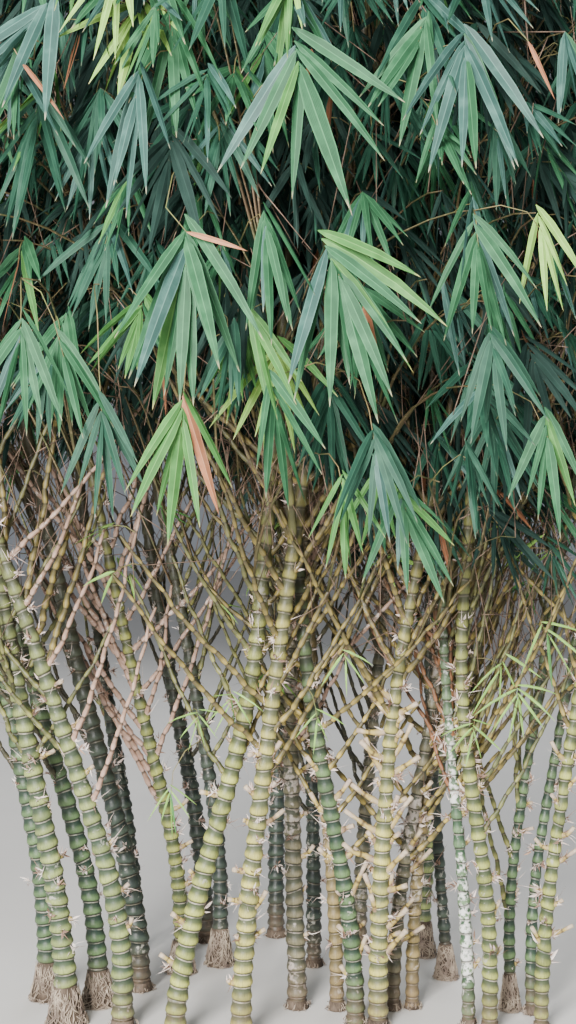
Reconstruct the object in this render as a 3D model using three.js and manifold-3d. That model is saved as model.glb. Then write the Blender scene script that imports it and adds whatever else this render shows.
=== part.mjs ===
// A clump of swollen-jointed bamboo, rooted in the ground: bellied culms, their boughs and a domed crown.
// Millimetres, +Z up, with the origin in the flat cut under the main culm and the open front towards -Y.
import * as THREE from "three";
import { mergeVertices } from "three/addons/utils/BufferGeometryUtils.js";
import Module from "manifold-3d";

const wasm = await Module();
wasm.setup();

// The crown is a dome over an open underside. Its plan is an ellipse round (x, y).
const CROWN = { x: 60, y: 340, reachX: 1300, reachY: 1100, top: 3280, waist: 2050, hem: 1010, foot: 0 };
const UNDERSIDE_RISE = 520; // how far the open underside climbs from the hem to the middle
const SHELL = [0.68, 0.98]; // twigs end between these shares of the crown's radius
const CULM_SHARE = 0.88; // culms end at this share of it

// Culms swell just above each joint. The joints stand further apart further up.
const BELLY_TOP = 740; // above this the swelling is slight, and the solid keeps a plain taper
const PITCH_AT_FOOT = 34;
const PITCH_GAIN = 0.022;
const WAIST_SHARE = 0.8; // radius at a joint, as a share of the belly's
const BELLY_AT = 0.36; // height of the belly in its internode
const BELLIED_SIDES = 6;
const PLAIN_SIDES = 5;
const TIP_RADIUS = 4;
const TAPER_POWER = 1.1;
const PLAIN_STEP = 390;
const PATH_STEP = 50;
const TANGENT_SHARE = 0.004; // a limb's direction is read this share of its length either side, or at least
const TANGENT_LEAST = 0.5;
const LEAN_HEIGHTS = [0, 450, 1000]; // where each culm's three leans are read
const ARCH_FROM = 1250; // above this the culms arch outwards
const ARCH_GAIN = 0.38;

// Every culm rises from a short cone of matted roots.
const ROOT_HEIGHT = 85;
const ROOT_FLARE = 1.5;

// A bough rises from a culm. Where its way is blocked, it starts lower or ends nearer to its mass or further.
const BOUGH = { radius: 10, tipRadius: 5, sides: 5, rings: 3, bow: 40 };
const BOUGH_DROPS = [0, 60, 120, -60, 180, 240, -120];
const BOUGH_REACHES = [0.55, 0.65, 0.45]; // shares of the way from the culm to the mass's centre
const CARRIERS_TRIED = 9;
const CULM_ABOVE_BOUGH = 250;

const GAP = 0.3; // between a bough and the stem that it carries
const CLEARANCE = 6; // between any two pieces that pass each other
const STEM = { radius: 5, knee: 25, reach: 0.9 };
const TWIG = { perMass: 5, radius: 4.5, tipRadius: 3, bow: 0.08, apart: 340, shortest: 300 };
const LEAF = { length: 275, width: 42, thickness: 5, broadest: 0.16 };
const FAN = { degrees: [0, 27, -27, 52], jitter: 12, first: 4, step: 34 };
const HANG = { leastOut: 0.35, mostOut: 0.75, down: 0.8 }; // the direction of a fan's middle
const CELL_MARGIN = 24; // between the leaves of one mass and the edge of its space
const SEARCH_SPAN = 1500;
const SEARCH_TRIES = 6000;
const FIRST_SEED = 51;
const FLAT_TOLERANCE = 0.1; // faces that lie this near to one plane become one

// Foliage masses stand in rings round the crown, one below the other.
const TIERS = [
  { name: "skirt", count: 7, height: 1560, spread: 0.74, turn: 0.25, rise: 470 },
  { name: "middle", count: 5, height: 2180, spread: 0.6, turn: 0, rise: 420 },
  { name: "upper", count: 4, height: 2740, spread: 0.36, turn: 0.5, rise: 420 },
];

// foot: where the culm leaves the ground. lean: its sideways slope at the three LEAN_HEIGHTS.
// back: its slope away from the front. girth: belly radius at the foot.
const CULMS = [
  { name: "main", foot: [0, 0], lean: [0.05, 0.12, 0.14], back: -0.03, girth: 24, height: 2780 },
  { name: "left_edge", foot: [-393, 90], lean: [-0.06, -0.19, -0.17], back: -0.02, girth: 28, height: 2620 },
  { name: "left_outer", foot: [-463, 250], lean: [-0.02, -0.2, -0.2], back: 0.01, girth: 25, height: 2450 },
  { name: "left_dark", foot: [-338, 210], lean: [-0.05, -0.3, -0.24], back: 0.03, girth: 25, height: 2560 },
  { name: "left_front", foot: [-264, 60], lean: [0.02, -0.31, -0.34], back: -0.05, girth: 26, height: 2480 },
  { name: "left_inner", foot: [-251, 310], lean: [-0.09, -0.27, -0.22], back: 0.04, girth: 27, height: 2750 },
  { name: "fishbone", foot: [-162, 430], lean: [0, -0.24, -0.2], back: -0.03, girth: 22, height: 2350 },
  { name: "front_crossing", foot: [-143, 0], lean: [0.17, 0.28, 0.08], back: 0, girth: 25, height: 2840 },
  { name: "mid_left", foot: [-70, 490], lean: [0.04, -0.16, -0.2], back: 0.06, girth: 22, height: 2700 },
  { name: "back_left", foot: [-117, 680], lean: [-0.06, -0.2, -0.16], back: 0.12, girth: 27, height: 2850 },
  { name: "centre", foot: [123, 190], lean: [-0.04, -0.02, 0], back: 0.02, girth: 24, height: 2900 },
  { name: "centre_back", foot: [167, 480], lean: [0, -0.02, 0.02], back: 0.06, girth: 21, height: 3000 },
  { name: "green", foot: [253, 90], lean: [-0.06, -0.2, -0.06], back: -0.04, girth: 22, height: 2700 },
  { name: "tan", foot: [214, 176], lean: [-0.02, -0.1, -0.05], back: 0.05, girth: 18, height: 2300 },
  { name: "yellow", foot: [302, 70], lean: [0, 0.06, 0.2], back: -0.03, girth: 24, height: 1900 },
  { name: "right_inner", foot: [342, 180], lean: [0.06, 0.19, 0.08], back: 0.02, girth: 19, height: 2500 },
  { name: "cream", foot: [388, 186], lean: [0.03, 0.12, 0.12], back: 0.09, girth: 17, height: 2250 },
  { name: "mossy", foot: [489, 390], lean: [-0.08, -0.06, 0.04], back: 0.05, girth: 17, height: 2500 },
  { name: "lichened", foot: [503, 70], lean: [-0.03, -0.09, -0.04], back: 0.03, girth: 16, height: 2150 },
  { name: "right_leaning", foot: [547, 48], lean: [0.01, -0.16, 0.06], back: -0.06, girth: 20, height: 2300 },
  { name: "right_slim", foot: [612, 175], lean: [-0.04, 0.16, 0.17], back: 0.04, girth: 15, height: 2100 },
  { name: "right_pair", foot: [656, 150], lean: [0, 0.2, 0.2], back: 0.12, girth: 15, height: 1980 },
  { name: "right_edge", foot: [661, 50], lean: [0.03, 0.14, 0.17], back: -0.03, girth: 18, height: 2200 },
  { name: "rear_left", foot: [-290, 560], lean: [-0.06, -0.18, -0.14], back: 0.15, girth: 24, height: 2600 },
  { name: "rear_middle", foot: [70, 720], lean: [0, 0.02, 0.04], back: 0.16, girth: 25, height: 2950 },
  { name: "rear_right", foot: [290, 640], lean: [0.04, 0.1, 0.1], back: 0.15, girth: 22, height: 2700 },
  { name: "rear_edge", foot: [450, 560], lean: [0.06, 0.16, 0.16], back: 0.1, girth: 20, height: 2350 },
];

// The culms along the open front show their swollen joints. The others keep a plain taper.
const BELLIED = new Set([
  "main",
  "left_edge",
  "left_front",
  "fishbone",
  "front_crossing",
  "centre",
  "green",
  "yellow",
  "right_leaning",
  "right_edge",
]);

const MATERIALS = {
  culm: new THREE.MeshStandardMaterial({ name: "culm", color: 0x8f9a52, roughness: 0.45, metalness: 0 }),
  bough: new THREE.MeshStandardMaterial({ name: "bough", color: 0xa8965a, roughness: 0.55, metalness: 0 }),
  foliage: new THREE.MeshStandardMaterial({ name: "foliage", color: 0x47774c, roughness: 0.5, metalness: 0 }),
};

const lerp = THREE.MathUtils.lerp;
const clamp01 = (value) => THREE.MathUtils.clamp(value, 0, 1);
const smooth = (t) => t * t * (3 - 2 * t);

// A seeded generator, so that the plant is the same on each run
function seeded(seed) {
  let state = seed >>> 0;
  return () => {
    state = (Math.imul(state, 1664525) + 1013904223) >>> 0;
    return state / 4294967296;
  };
}

// Sideways slope of a culm at a height, eased between its three leans
function leanAt(culm, height) {
  const part = height < LEAN_HEIGHTS[1] ? 0 : 1;
  const [low, high] = [LEAN_HEIGHTS[part], LEAN_HEIGHTS[part + 1]];
  return lerp(culm.lean[part], culm.lean[part + 1], smooth(clamp01((height - low) / (high - low))));
}

// The culm's centre line: upright out of the ground, then leaning, then arching out from the crown's middle.
// It ends at its height, or where it nears the crown's skin.
function culmPath(culm) {
  const outwardX = (culm.foot[0] - CROWN.x) / CROWN.reachX;
  const outwardY = (culm.foot[1] - CROWN.y) / CROWN.reachY;
  const point = new THREE.Vector3(culm.foot[0], culm.foot[1], 0);
  const points = [point.clone()];
  while (point.z < culm.height && (point.z < CROWN.hem || crownShare(point) < CULM_SHARE)) {
    const started = smooth(clamp01(point.z / ROOT_HEIGHT));
    const arch = ARCH_GAIN * Math.pow(Math.max(0, point.z - ARCH_FROM) / 1000, 2);
    point.x += PATH_STEP * (started * leanAt(culm, point.z) + arch * outwardX);
    point.y += PATH_STEP * (started * culm.back + arch * outwardY);
    point.z += PATH_STEP;
    points.push(point.clone());
  }
  return points;
}

// The point of a centre line at a height, between its evenly spaced points
function pointAtHeight(path, height) {
  const at = Math.min(height / PATH_STEP, path.length - 1.001);
  const from = Math.floor(at);
  return path[from].clone().lerp(path[from + 1], at - from);
}

function culmRadius(culm, height) {
  const share = Math.pow(clamp01(1 - height / culm.height), TAPER_POWER);
  return TIP_RADIUS + (culm.girth - TIP_RADIUS) * share;
}

// Root flare at the foot, held back where a neighbour stands close
function flareRadius(culm) {
  let flare = culm.girth * ROOT_FLARE;
  for (const other of CULMS) {
    if (other.name === culm.name) continue;
    const apart = Math.hypot(culm.foot[0] - other.foot[0], culm.foot[1] - other.foot[1]);
    flare = Math.min(flare, (apart - 3) * (culm.girth / (culm.girth + other.girth)));
  }
  return flare;
}

// The outline that is turned round a culm's line: root cone, bellied internodes, then a plain taper
function culmProfile(culm) {
  const profile = [new THREE.Vector2(0, 0), new THREE.Vector2(flareRadius(culm), 0)];
  profile.push(new THREE.Vector2(culmRadius(culm, ROOT_HEIGHT) * WAIST_SHARE, ROOT_HEIGHT));
  let height = ROOT_HEIGHT;
  while (BELLIED.has(culm.name) && height < BELLY_TOP) {
    const pitch = PITCH_AT_FOOT + PITCH_GAIN * height;
    profile.push(new THREE.Vector2(culmRadius(culm, height), height + pitch * BELLY_AT));
    profile.push(new THREE.Vector2(culmRadius(culm, height + pitch) * WAIST_SHARE, height + pitch));
    height += pitch;
  }
  const steps = Math.max(1, Math.round((culm.height - height) / PLAIN_STEP));
  for (let i = 1; i <= steps; i++) {
    const z = lerp(height, culm.height, i / steps);
    profile.push(new THREE.Vector2(culmRadius(culm, z), z));
  }
  profile.push(new THREE.Vector2(0, culm.height));
  return profile;
}

// A tapering limb: a lathed outline whose axis is bent along a line. place(height) gives the line's point.
// The lathe makes its rings in the outline's order, so vertex i belongs to outline point i % length.
function limb(profile, sides, place) {
  const geometry = new THREE.LatheGeometry(profile, sides);
  const position = geometry.getAttribute("position");
  const reach = profile[profile.length - 1].y;
  const step = Math.max(reach * TANGENT_SHARE, TANGENT_LEAST);
  let across = new THREE.Vector3(1, 0, 0);
  const frames = profile.map(({ y }) => {
    const tangent = place(Math.min(y + step, reach)).sub(place(Math.max(y - step, 0)));
    tangent.normalize();
    across = across.clone().addScaledVector(tangent, -across.dot(tangent)).normalize();
    return { at: place(y), across, deep: tangent.cross(across) };
  });
  for (let i = 0; i < position.count; i++) {
    const { at, across, deep } = frames[i % profile.length];
    const point = at.clone().addScaledVector(across, position.getZ(i));
    point.addScaledVector(deep, position.getX(i));
    position.setXYZ(i, point.x, point.y, point.z);
  }
  return geometry;
}

// A closed geometry as a solid, and a solid as a geometry
function solidOf(geometry) {
  const bare = geometry.clone();
  bare.deleteAttribute("normal");
  bare.deleteAttribute("uv");
  const merged = mergeVertices(bare, 1e-3);
  return new wasm.Manifold(
    new wasm.Mesh({
      numProp: 3,
      vertProperties: merged.getAttribute("position").array,
      triVerts: new Uint32Array(merged.index.array),
    }),
  );
}

function geometryOf(solid) {
  const mesh = solid.getMesh();
  return new THREE.BufferGeometry()
    .setAttribute("position", new THREE.BufferAttribute(mesh.vertProperties, 3))
    .setIndex(new THREE.BufferAttribute(mesh.triVerts, 1));
}

// How far out a point lies, as a share of the crown's radius in its direction
function crownShare(point) {
  const half = point.z > CROWN.waist ? CROWN.top - CROWN.waist : CROWN.waist - CROWN.foot;
  const across = (point.x - CROWN.x) / CROWN.reachX;
  const deep = (point.y - CROWN.y) / CROWN.reachY;
  return Math.hypot(across, deep, (point.z - CROWN.waist) / half);
}

function inCrown(point) {
  const share = crownShare(point);
  return share <= 1 && point.z > CROWN.hem + UNDERSIDE_RISE * Math.pow(1 - share, 2);
}

// The foliage masses' centres, tier by tier
function massCentres() {
  const masses = [];
  for (const tier of TIERS) {
    for (let i = 0; i < tier.count; i++) {
      const angle = ((i + tier.turn) / tier.count) * 2 * Math.PI;
      const x = CROWN.x + CROWN.reachX * tier.spread * Math.cos(angle);
      const y = CROWN.y + CROWN.reachY * tier.spread * Math.sin(angle);
      const centre = new THREE.Vector3(x, y, tier.height);
      masses.push({ name: `${tier.name}_${i + 1}`, centre, rise: tier.rise });
    }
  }
  return masses;
}

const masses = massCentres();
const culms = CULMS.map((culm) => {
  const path = culmPath(culm);
  return { ...culm, path, height: path[path.length - 1].z };
});

// Whether a point lies in a mass's own space: nearer to its centre than to any other, by a margin
function owns(mass, point) {
  return masses.every((other) => {
    if (other === mass) return true;
    const apart = other.centre.distanceTo(mass.centre);
    const lead = point.distanceToSquared(other.centre) - point.distanceToSquared(mass.centre);
    return lead / (2 * apart) > CELL_MARGIN;
  });
}

// A line of points as short straight pieces, each with its thickest radius
function piecesOf(points, radiusAt) {
  return points.slice(1).map((to, i) => ({ axis: new THREE.Line3(points[i], to), radius: radiusAt(i) }));
}

function clearOf(axis, limbs, margin) {
  return limbs.flat().every((piece) => {
    return axis.distanceSqToLine3(piece.axis) > Math.pow(piece.radius + margin, 2);
  });
}

for (const culm of culms) culm.pieces = piecesOf(culm.path, (i) => culmRadius(culm, i * PATH_STEP));

// A bough rises from its culm and bends out to the mass. Share 0 is at the culm and 1 at its tip.
function boughPoint(bough, share) {
  const point = bough.start.clone().lerp(bough.end, share);
  point.z += Math.sin(share * Math.PI) * BOUGH.bow;
  return point;
}

// The bough that a culm would send from a height towards a mass, with the stem that goes on from it
function boughFrom(culm, height, mass, reach) {
  const root = pointAtHeight(culm.path, height);
  const towards = mass.centre.clone().sub(root);
  const outward = towards.clone().setZ(0).normalize();
  const start = root.clone().addScaledVector(outward, culmRadius(culm, height) + BOUGH.radius + 1);
  const bough = { culm, start, end: root.clone().addScaledVector(towards, reach) };
  const points = Array.from({ length: 13 }, (_, i) => boughPoint(bough, i / 12));
  bough.pieces = piecesOf(points, (i) => lerp(BOUGH.radius, BOUGH.tipRadius, i / 12));
  const heading = bough.end.clone().sub(boughPoint(bough, 0.995)).normalize();
  const foot = bough.end.clone().addScaledVector(heading, GAP);
  const knee = foot.clone().addScaledVector(heading, STEM.knee);
  const tip = foot.clone().lerp(mass.centre, STEM.reach);
  bough.stem = [foot, knee, knee.clone().lerp(tip, 0.5), tip];
  return bough;
}

// Whether a bough and its stem have a clear way past every limb, and off their own culm after the first piece
function wayIsClear(bough, boughs) {
  const others = [...culms.filter((culm) => culm !== bough.culm), ...boughs].map((other) => other.pieces);
  const axes = bough.pieces.map((piece) => piece.axis);
  axes.push(new THREE.Line3(bough.stem[0], bough.stem[3]));
  const pastOthers = axes.every((axis) => clearOf(axis, others, BOUGH.radius + CLEARANCE));
  return pastOthers && axes.slice(1).every((axis) => clearOf(axis, [bough.culm.pieces], BOUGH.radius));
}

// The bough that carries a mass: from the nearest culm that has a clear way
function findBough(mass, boughs) {
  const wanted = mass.centre.z - mass.rise;
  const distance = (culm) => pointAtHeight(culm.path, wanted).distanceTo(mass.centre);
  const tall = culms.filter((culm) => culm.height > wanted + CULM_ABOVE_BOUGH);
  const carriers = tall.sort((a, b) => distance(a) - distance(b)).slice(0, CARRIERS_TRIED);
  for (const reach of BOUGH_REACHES) {
    for (const drop of BOUGH_DROPS) {
      const choices = carriers.map((culm) => boughFrom(culm, wanted - drop, mass, reach));
      const found = choices.find((bough) => owns(mass, bough.end) && wayIsClear(bough, boughs));
      if (found) return found;
    }
  }
  throw new Error("no culm can carry " + mass.name);
}

function boughGeometry(bough) {
  const length = bough.end.distanceTo(bough.start);
  const profile = [new THREE.Vector2(0, 0)];
  for (let i = 0; i <= BOUGH.rings; i++) {
    const share = i / BOUGH.rings;
    profile.push(new THREE.Vector2(lerp(BOUGH.radius, BOUGH.tipRadius, share), length * share));
  }
  profile.push(new THREE.Vector2(0, length));
  return limb(profile, BOUGH.sides, (at) => boughPoint(bough, at / length));
}

// A three-sided taper along a few points
function twigSolid(points, radius, tipRadius) {
  const last = points.length - 1;
  const length = points[0].distanceTo(points[last]);
  const place = (at) => {
    const along = Math.min((at / length) * last, last - 1e-6);
    const from = Math.floor(along);
    return points[from].clone().lerp(points[from + 1], along - from);
  };
  const ringAt = (share) => new THREE.Vector2(lerp(radius, tipRadius, share), length * share);
  const rings = points.map((_, i) => ringAt(i / last));
  return solidOf(limb([new THREE.Vector2(0, 0), ...rings, new THREE.Vector2(0, length)], 3, place));
}

// A leaf is a long eight-faced blade. Its broadest part is a short way from its root.
function leafSolid(root, direction, across) {
  const geometry = new THREE.OctahedronGeometry(1, 0);
  const position = geometry.getAttribute("position");
  const face = direction.clone().cross(across).normalize();
  const side = direction.clone().cross(face).normalize();
  for (let i = 0; i < position.count; i++) {
    const [x, y, z] = [position.getX(i), position.getY(i), position.getZ(i)];
    const along = Math.abs(y) < 0.5 ? LEAF.broadest : (y + 1) / 2;
    const point = root.clone().addScaledVector(direction, along * LEAF.length);
    point.addScaledVector(side, (x * LEAF.width) / 2).addScaledVector(face, (z * LEAF.thickness) / 2);
    position.setXYZ(i, point.x, point.y, point.z);
  }
  return solidOf(geometry);
}

// Whether a straight piece stays in the mass's space and clear of every limb
function fits(mass, from, to, limbs, margin) {
  if (!owns(mass, from) || !owns(mass, to) || !inCrown(to)) return false;
  return clearOf(new THREE.Line3(from, to), limbs, margin);
}

// The leaves at the end of a twig hang out and down from it like the ribs of a half-open fan
function fanOfLeaves(mass, twig, limbs, random) {
  const out = twig[2].clone().sub(twig[0]).setZ(0).normalize();
  const sideways = new THREE.Vector3(-out.y, out.x, 0);
  const middle = out.clone().multiplyScalar(lerp(HANG.leastOut, HANG.mostOut, random()));
  middle.setZ(-HANG.down).normalize();
  const turn = random() < 0.5 ? -1 : 1;
  const leaves = [];
  FAN.degrees.forEach((degrees, i) => {
    const angle = THREE.MathUtils.degToRad(turn * degrees + FAN.jitter * (random() - 0.5));
    const direction = middle.clone().multiplyScalar(Math.cos(angle));
    direction.addScaledVector(sideways, Math.sin(angle));
    const across = sideways.clone().addScaledVector(out, random() - 0.5);
    const root = twig[2].clone().lerp(twig[1], (FAN.first + FAN.step * i) / twig[2].distanceTo(twig[1]));
    const tip = root.clone().addScaledVector(direction, LEAF.length);
    if (!fits(mass, root, tip, limbs, LEAF.width / 2 + CLEARANCE)) return;
    leaves.push(leafSolid(root, direction, across));
  });
  return leaves;
}

// A twig from somewhere along the stem to a place in the crown's shell, bowed up in the middle
function chooseTwig(mass, stem, random) {
  const jump = new THREE.Vector3(random() - 0.5, random() - 0.5, random() - 0.5);
  const end = mass.centre.clone().addScaledVector(jump, SEARCH_SPAN);
  const from = random() < 0.5 ? 1 : 2;
  const root = stem[from].clone().lerp(stem[from + 1], STEM.reach * random());
  const bend = root.clone().lerp(end, 0.5);
  bend.z += TWIG.bow * root.distanceTo(end);
  return [root, bend, end];
}

function twigFits(mass, [root, bend, end], limbs, ends, apart) {
  const share = crownShare(end);
  if (share < SHELL[0] || share > SHELL[1] || root.distanceTo(end) < TWIG.shortest) return false;
  if (ends.some((other) => other.distanceTo(end) < apart)) return false;
  const margin = TWIG.radius + CLEARANCE;
  return fits(mass, root, bend, limbs, margin) && fits(mass, bend, end, limbs, margin);
}

// One mass of foliage: a stem, twigs out to the crown's shell and hanging leaves, fused into one solid.
// The twigs' ends keep their distance from one another, and stand nearer where the search goes on for long.
function massGeometry(mass, bough, limbs, seed) {
  const random = seeded(seed);
  const parts = [twigSolid(bough.stem, STEM.radius, TWIG.radius)];
  const ends = [];
  for (let tries = 0; ends.length < TWIG.perMass && tries < SEARCH_TRIES; tries++) {
    const twig = chooseTwig(mass, bough.stem, random);
    if (!twigFits(mass, twig, limbs, ends, TWIG.apart * (1 - (0.7 * tries) / SEARCH_TRIES))) continue;
    const leaves = fanOfLeaves(mass, twig, limbs, random);
    if (leaves.length < FAN.degrees.length - 1) continue;
    parts.push(twigSolid(twig, TWIG.radius, TWIG.tipRadius), ...leaves);
    ends.push(twig[2]);
  }
  return geometryOf(wasm.Manifold.union(parts).simplify(FLAT_TOLERANCE));
}

function named(name, geometry, material) {
  const mesh = new THREE.Mesh(geometry, material);
  mesh.name = name;
  return mesh;
}

function clumpOfCulms() {
  const group = new THREE.Group();
  for (const culm of culms) {
    const sides = BELLIED.has(culm.name) ? BELLIED_SIDES : PLAIN_SIDES;
    const geometry = limb(culmProfile(culm), sides, (height) => pointAtHeight(culm.path, height));
    group.add(named(`culm_${culm.name}`, geometry, MATERIALS.culm));
  }
  return group;
}

function crown() {
  const group = new THREE.Group();
  const boughs = [];
  for (const mass of masses) {
    const bough = findBough(mass, boughs);
    boughs.push(bough);
    group.add(named(`bough_${mass.name}`, boughGeometry(bough), MATERIALS.bough));
  }
  const limbs = [...culms, ...boughs].map((limb) => limb.pieces);
  masses.forEach((mass, i) => {
    const geometry = massGeometry(mass, boughs[i], limbs, FIRST_SEED + i);
    group.add(named(`foliage_${mass.name}`, geometry, MATERIALS.foliage));
  });
  return group;
}

const bamboo = new THREE.Group();
bamboo.add(clumpOfCulms(), crown());

export default bamboo;
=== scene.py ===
"""A clump of swollen-jointed bamboo rooted in the ground: culms, side branches, sheaths, twigs and leaves.

Lengths are metres and +Z is up. The origin lies in the ground under the main culm, and the open front
of the clump looks towards -Y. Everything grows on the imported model's own culms and boughs.
"""
import logging
import math
from dataclasses import dataclass, field
from enum import Enum
from functools import cache
from typing import NamedTuple

import bpy
import numpy as np
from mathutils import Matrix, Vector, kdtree


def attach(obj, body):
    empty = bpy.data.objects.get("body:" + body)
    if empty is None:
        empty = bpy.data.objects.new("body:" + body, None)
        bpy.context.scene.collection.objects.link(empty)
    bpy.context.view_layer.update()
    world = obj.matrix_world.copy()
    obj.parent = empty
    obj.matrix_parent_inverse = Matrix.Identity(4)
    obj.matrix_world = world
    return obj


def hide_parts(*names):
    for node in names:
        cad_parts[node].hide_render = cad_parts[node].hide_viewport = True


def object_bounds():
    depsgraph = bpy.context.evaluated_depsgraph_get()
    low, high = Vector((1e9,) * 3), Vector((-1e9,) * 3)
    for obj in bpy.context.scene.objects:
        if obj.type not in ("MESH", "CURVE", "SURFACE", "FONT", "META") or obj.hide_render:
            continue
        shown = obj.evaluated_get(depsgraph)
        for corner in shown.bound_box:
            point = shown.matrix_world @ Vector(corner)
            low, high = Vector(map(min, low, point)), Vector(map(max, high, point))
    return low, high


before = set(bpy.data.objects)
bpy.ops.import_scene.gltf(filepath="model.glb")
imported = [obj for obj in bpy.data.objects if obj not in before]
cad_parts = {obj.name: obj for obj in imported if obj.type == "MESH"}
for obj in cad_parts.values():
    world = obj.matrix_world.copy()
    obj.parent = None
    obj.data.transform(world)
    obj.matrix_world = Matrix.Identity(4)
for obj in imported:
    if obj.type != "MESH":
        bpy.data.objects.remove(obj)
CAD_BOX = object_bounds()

LOG = logging.getLogger("bamboo")
Array = np.ndarray
Socket = bpy.types.NodeSocket
Material = bpy.types.Material
Pair = tuple[float, float]
Triple = tuple[float, float, float]
Stops = tuple[Pair, ...]
Shares = tuple[float, ...]
Counts = tuple[int, int]
Random = np.random.Generator
BODY = "root"
UP = np.array([0.0, 0.0, 1.0])
LEVEL = np.array([1.0, 1.0, 0.0])
FULL_TURN = 2 * math.pi
LOW_CORNER, HIGH_CORNER = (np.array(corner) for corner in CAD_BOX)


def unit(vectors: Array) -> Array:
    """Vectors scaled to length one."""
    return vectors / np.maximum(np.linalg.norm(vectors, axis=-1, keepdims=True), 1e-9)


def smooth(share: Array) -> Array:
    """Eases a share between 0 and 1, flat at both ends."""
    share = np.clip(share, 0.0, 1.0)
    return share * share * (3.0 - 2.0 * share)


def heading(azimuth: Array, rise: Array) -> Array:
    """Unit vectors from degrees round from +X and degrees above level."""
    turn, climb = np.radians(azimuth), np.radians(rise)
    return np.stack([np.cos(turn) * np.cos(climb), np.sin(turn) * np.cos(climb), np.sin(climb)], axis=-1)


def level_way(turns: Array) -> Array:
    """Level unit vectors from radians round from +X."""
    return np.stack([np.cos(turns), np.sin(turns), np.zeros(turns.shape)], axis=-1)


def quarter_turn(ways: Array) -> Array:
    """Level vectors turned a quarter round to the left, (N, 3)."""
    return np.stack([-ways[:, 1], ways[:, 0], np.zeros(len(ways))], axis=-1)


def in_box(points: Array, margin: float) -> Array:
    """Whether points lie in the model's box, widened by a margin."""
    return np.all((points > LOW_CORNER - margin) & (points < HIGH_CORNER + margin), axis=-1)


def along_line(line: Array, marks: Array, places: Array) -> Array:
    """Points of a line at places, where its own points lie at the marks."""
    return np.stack([np.interp(places, marks, line[:, axis]) for axis in range(line.shape[1])], axis=-1)


def search_tree(points: Array) -> kdtree.KDTree:
    """A tree that finds the nearest of some points.

    Args:
        points: the points, (N, 3).

    Returns:
        The tree, which numbers them in their order.
    """
    tree = kdtree.KDTree(len(points))
    for i, point in enumerate(points):
        tree.insert(point, i)
    tree.balance()
    return tree


def cubic(start: Array, leave: Array, arrive: Array, end: Array, count: int) -> Array:
    """Points along cubic curves.

    Args:
        start, leave, arrive, end: the curves' four control points, each (M, 3).
        count: how many points each curve gets.

    Returns:
        The points, (M, count, 3).
    """
    t = np.linspace(0.0, 1.0, count)[None, :, None]
    parts = [start[:, None] * (1 - t) ** 3, leave[:, None] * 3 * t * (1 - t) ** 2]
    parts += [arrive[:, None] * 3 * t**2 * (1 - t), end[:, None] * t**3]
    return sum(parts)


@dataclass
class MeshSketch:
    """Gathers points, faces and UVs from arrays, and makes one mesh of them."""

    points: list[Array] = field(default_factory=list)
    faces: list[Array] = field(default_factory=list)
    uvs: list[Array] = field(default_factory=list)
    count: int = 0

    def add(self, points: Array, faces: Array, uvs: Array) -> None:
        """Adds a set of faces that have the same number of corners.

        Args:
            points: vertices, (N, 3).
            faces: corner numbers into these points, (F, corners).
            uvs: a UV for each corner, (F, corners, 2).
        """
        self.points.append(points)
        self.count += len(points)
        self.more(faces + self.count - len(points), uvs)

    def more(self, faces: Array, uvs: Array) -> None:
        """Adds faces on vertices that are there already, numbered in the whole mesh."""
        self.faces.append(faces)
        self.uvs.append(uvs)

    def triangles(self) -> int:
        """How many triangles the mesh will have."""
        return sum(len(faces) * (faces.shape[1] - 2) for faces in self.faces)

    def make(self, name: str, material: Material, slot: str, nodes: list[str] | None = None) -> None:
        """Makes the mesh as a piece on the plant's body, and logs what it stands for.

        Args:
            name: the piece's name.
            material: its only material.
            slot: the record's material slot that its finish belongs to; not used.
            nodes: the model's nodes that it replaces.
        """
        mesh = bpy.data.meshes.new(name)
        corners = np.concatenate([faces.ravel() for faces in self.faces]).astype(np.int32)
        sizes = np.concatenate([np.full(len(faces), faces.shape[1]) for faces in self.faces])
        starts = (np.cumsum(sizes) - sizes).astype(np.int32)
        mesh.vertices.add(self.count)
        mesh.vertices.foreach_set("co", np.concatenate(self.points).astype(np.float32).ravel())
        mesh.loops.add(len(corners))
        mesh.loops.foreach_set("vertex_index", corners)
        mesh.polygons.add(len(starts))
        mesh.polygons.foreach_set("loop_start", starts)
        mesh.polygons.foreach_set("use_smooth", np.ones(len(starts), dtype=bool))
        uvs = mesh.uv_layers.new(name="UVMap")
        uvs.data.foreach_set("uv", np.concatenate([uv.reshape(-1, 2) for uv in self.uvs]).ravel())
        mesh.update(calc_edges=True)
        mesh.validate()
        mesh.materials.append(material)
        piece = bpy.data.objects.new(name, mesh)
        bpy.context.scene.collection.objects.link(piece)
        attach(piece, BODY)
        if nodes:
            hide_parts(*nodes)
        LOG.info("%s: %d triangles, for %s", name, self.triangles(), ", ".join(nodes or ["no node"]))


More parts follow.
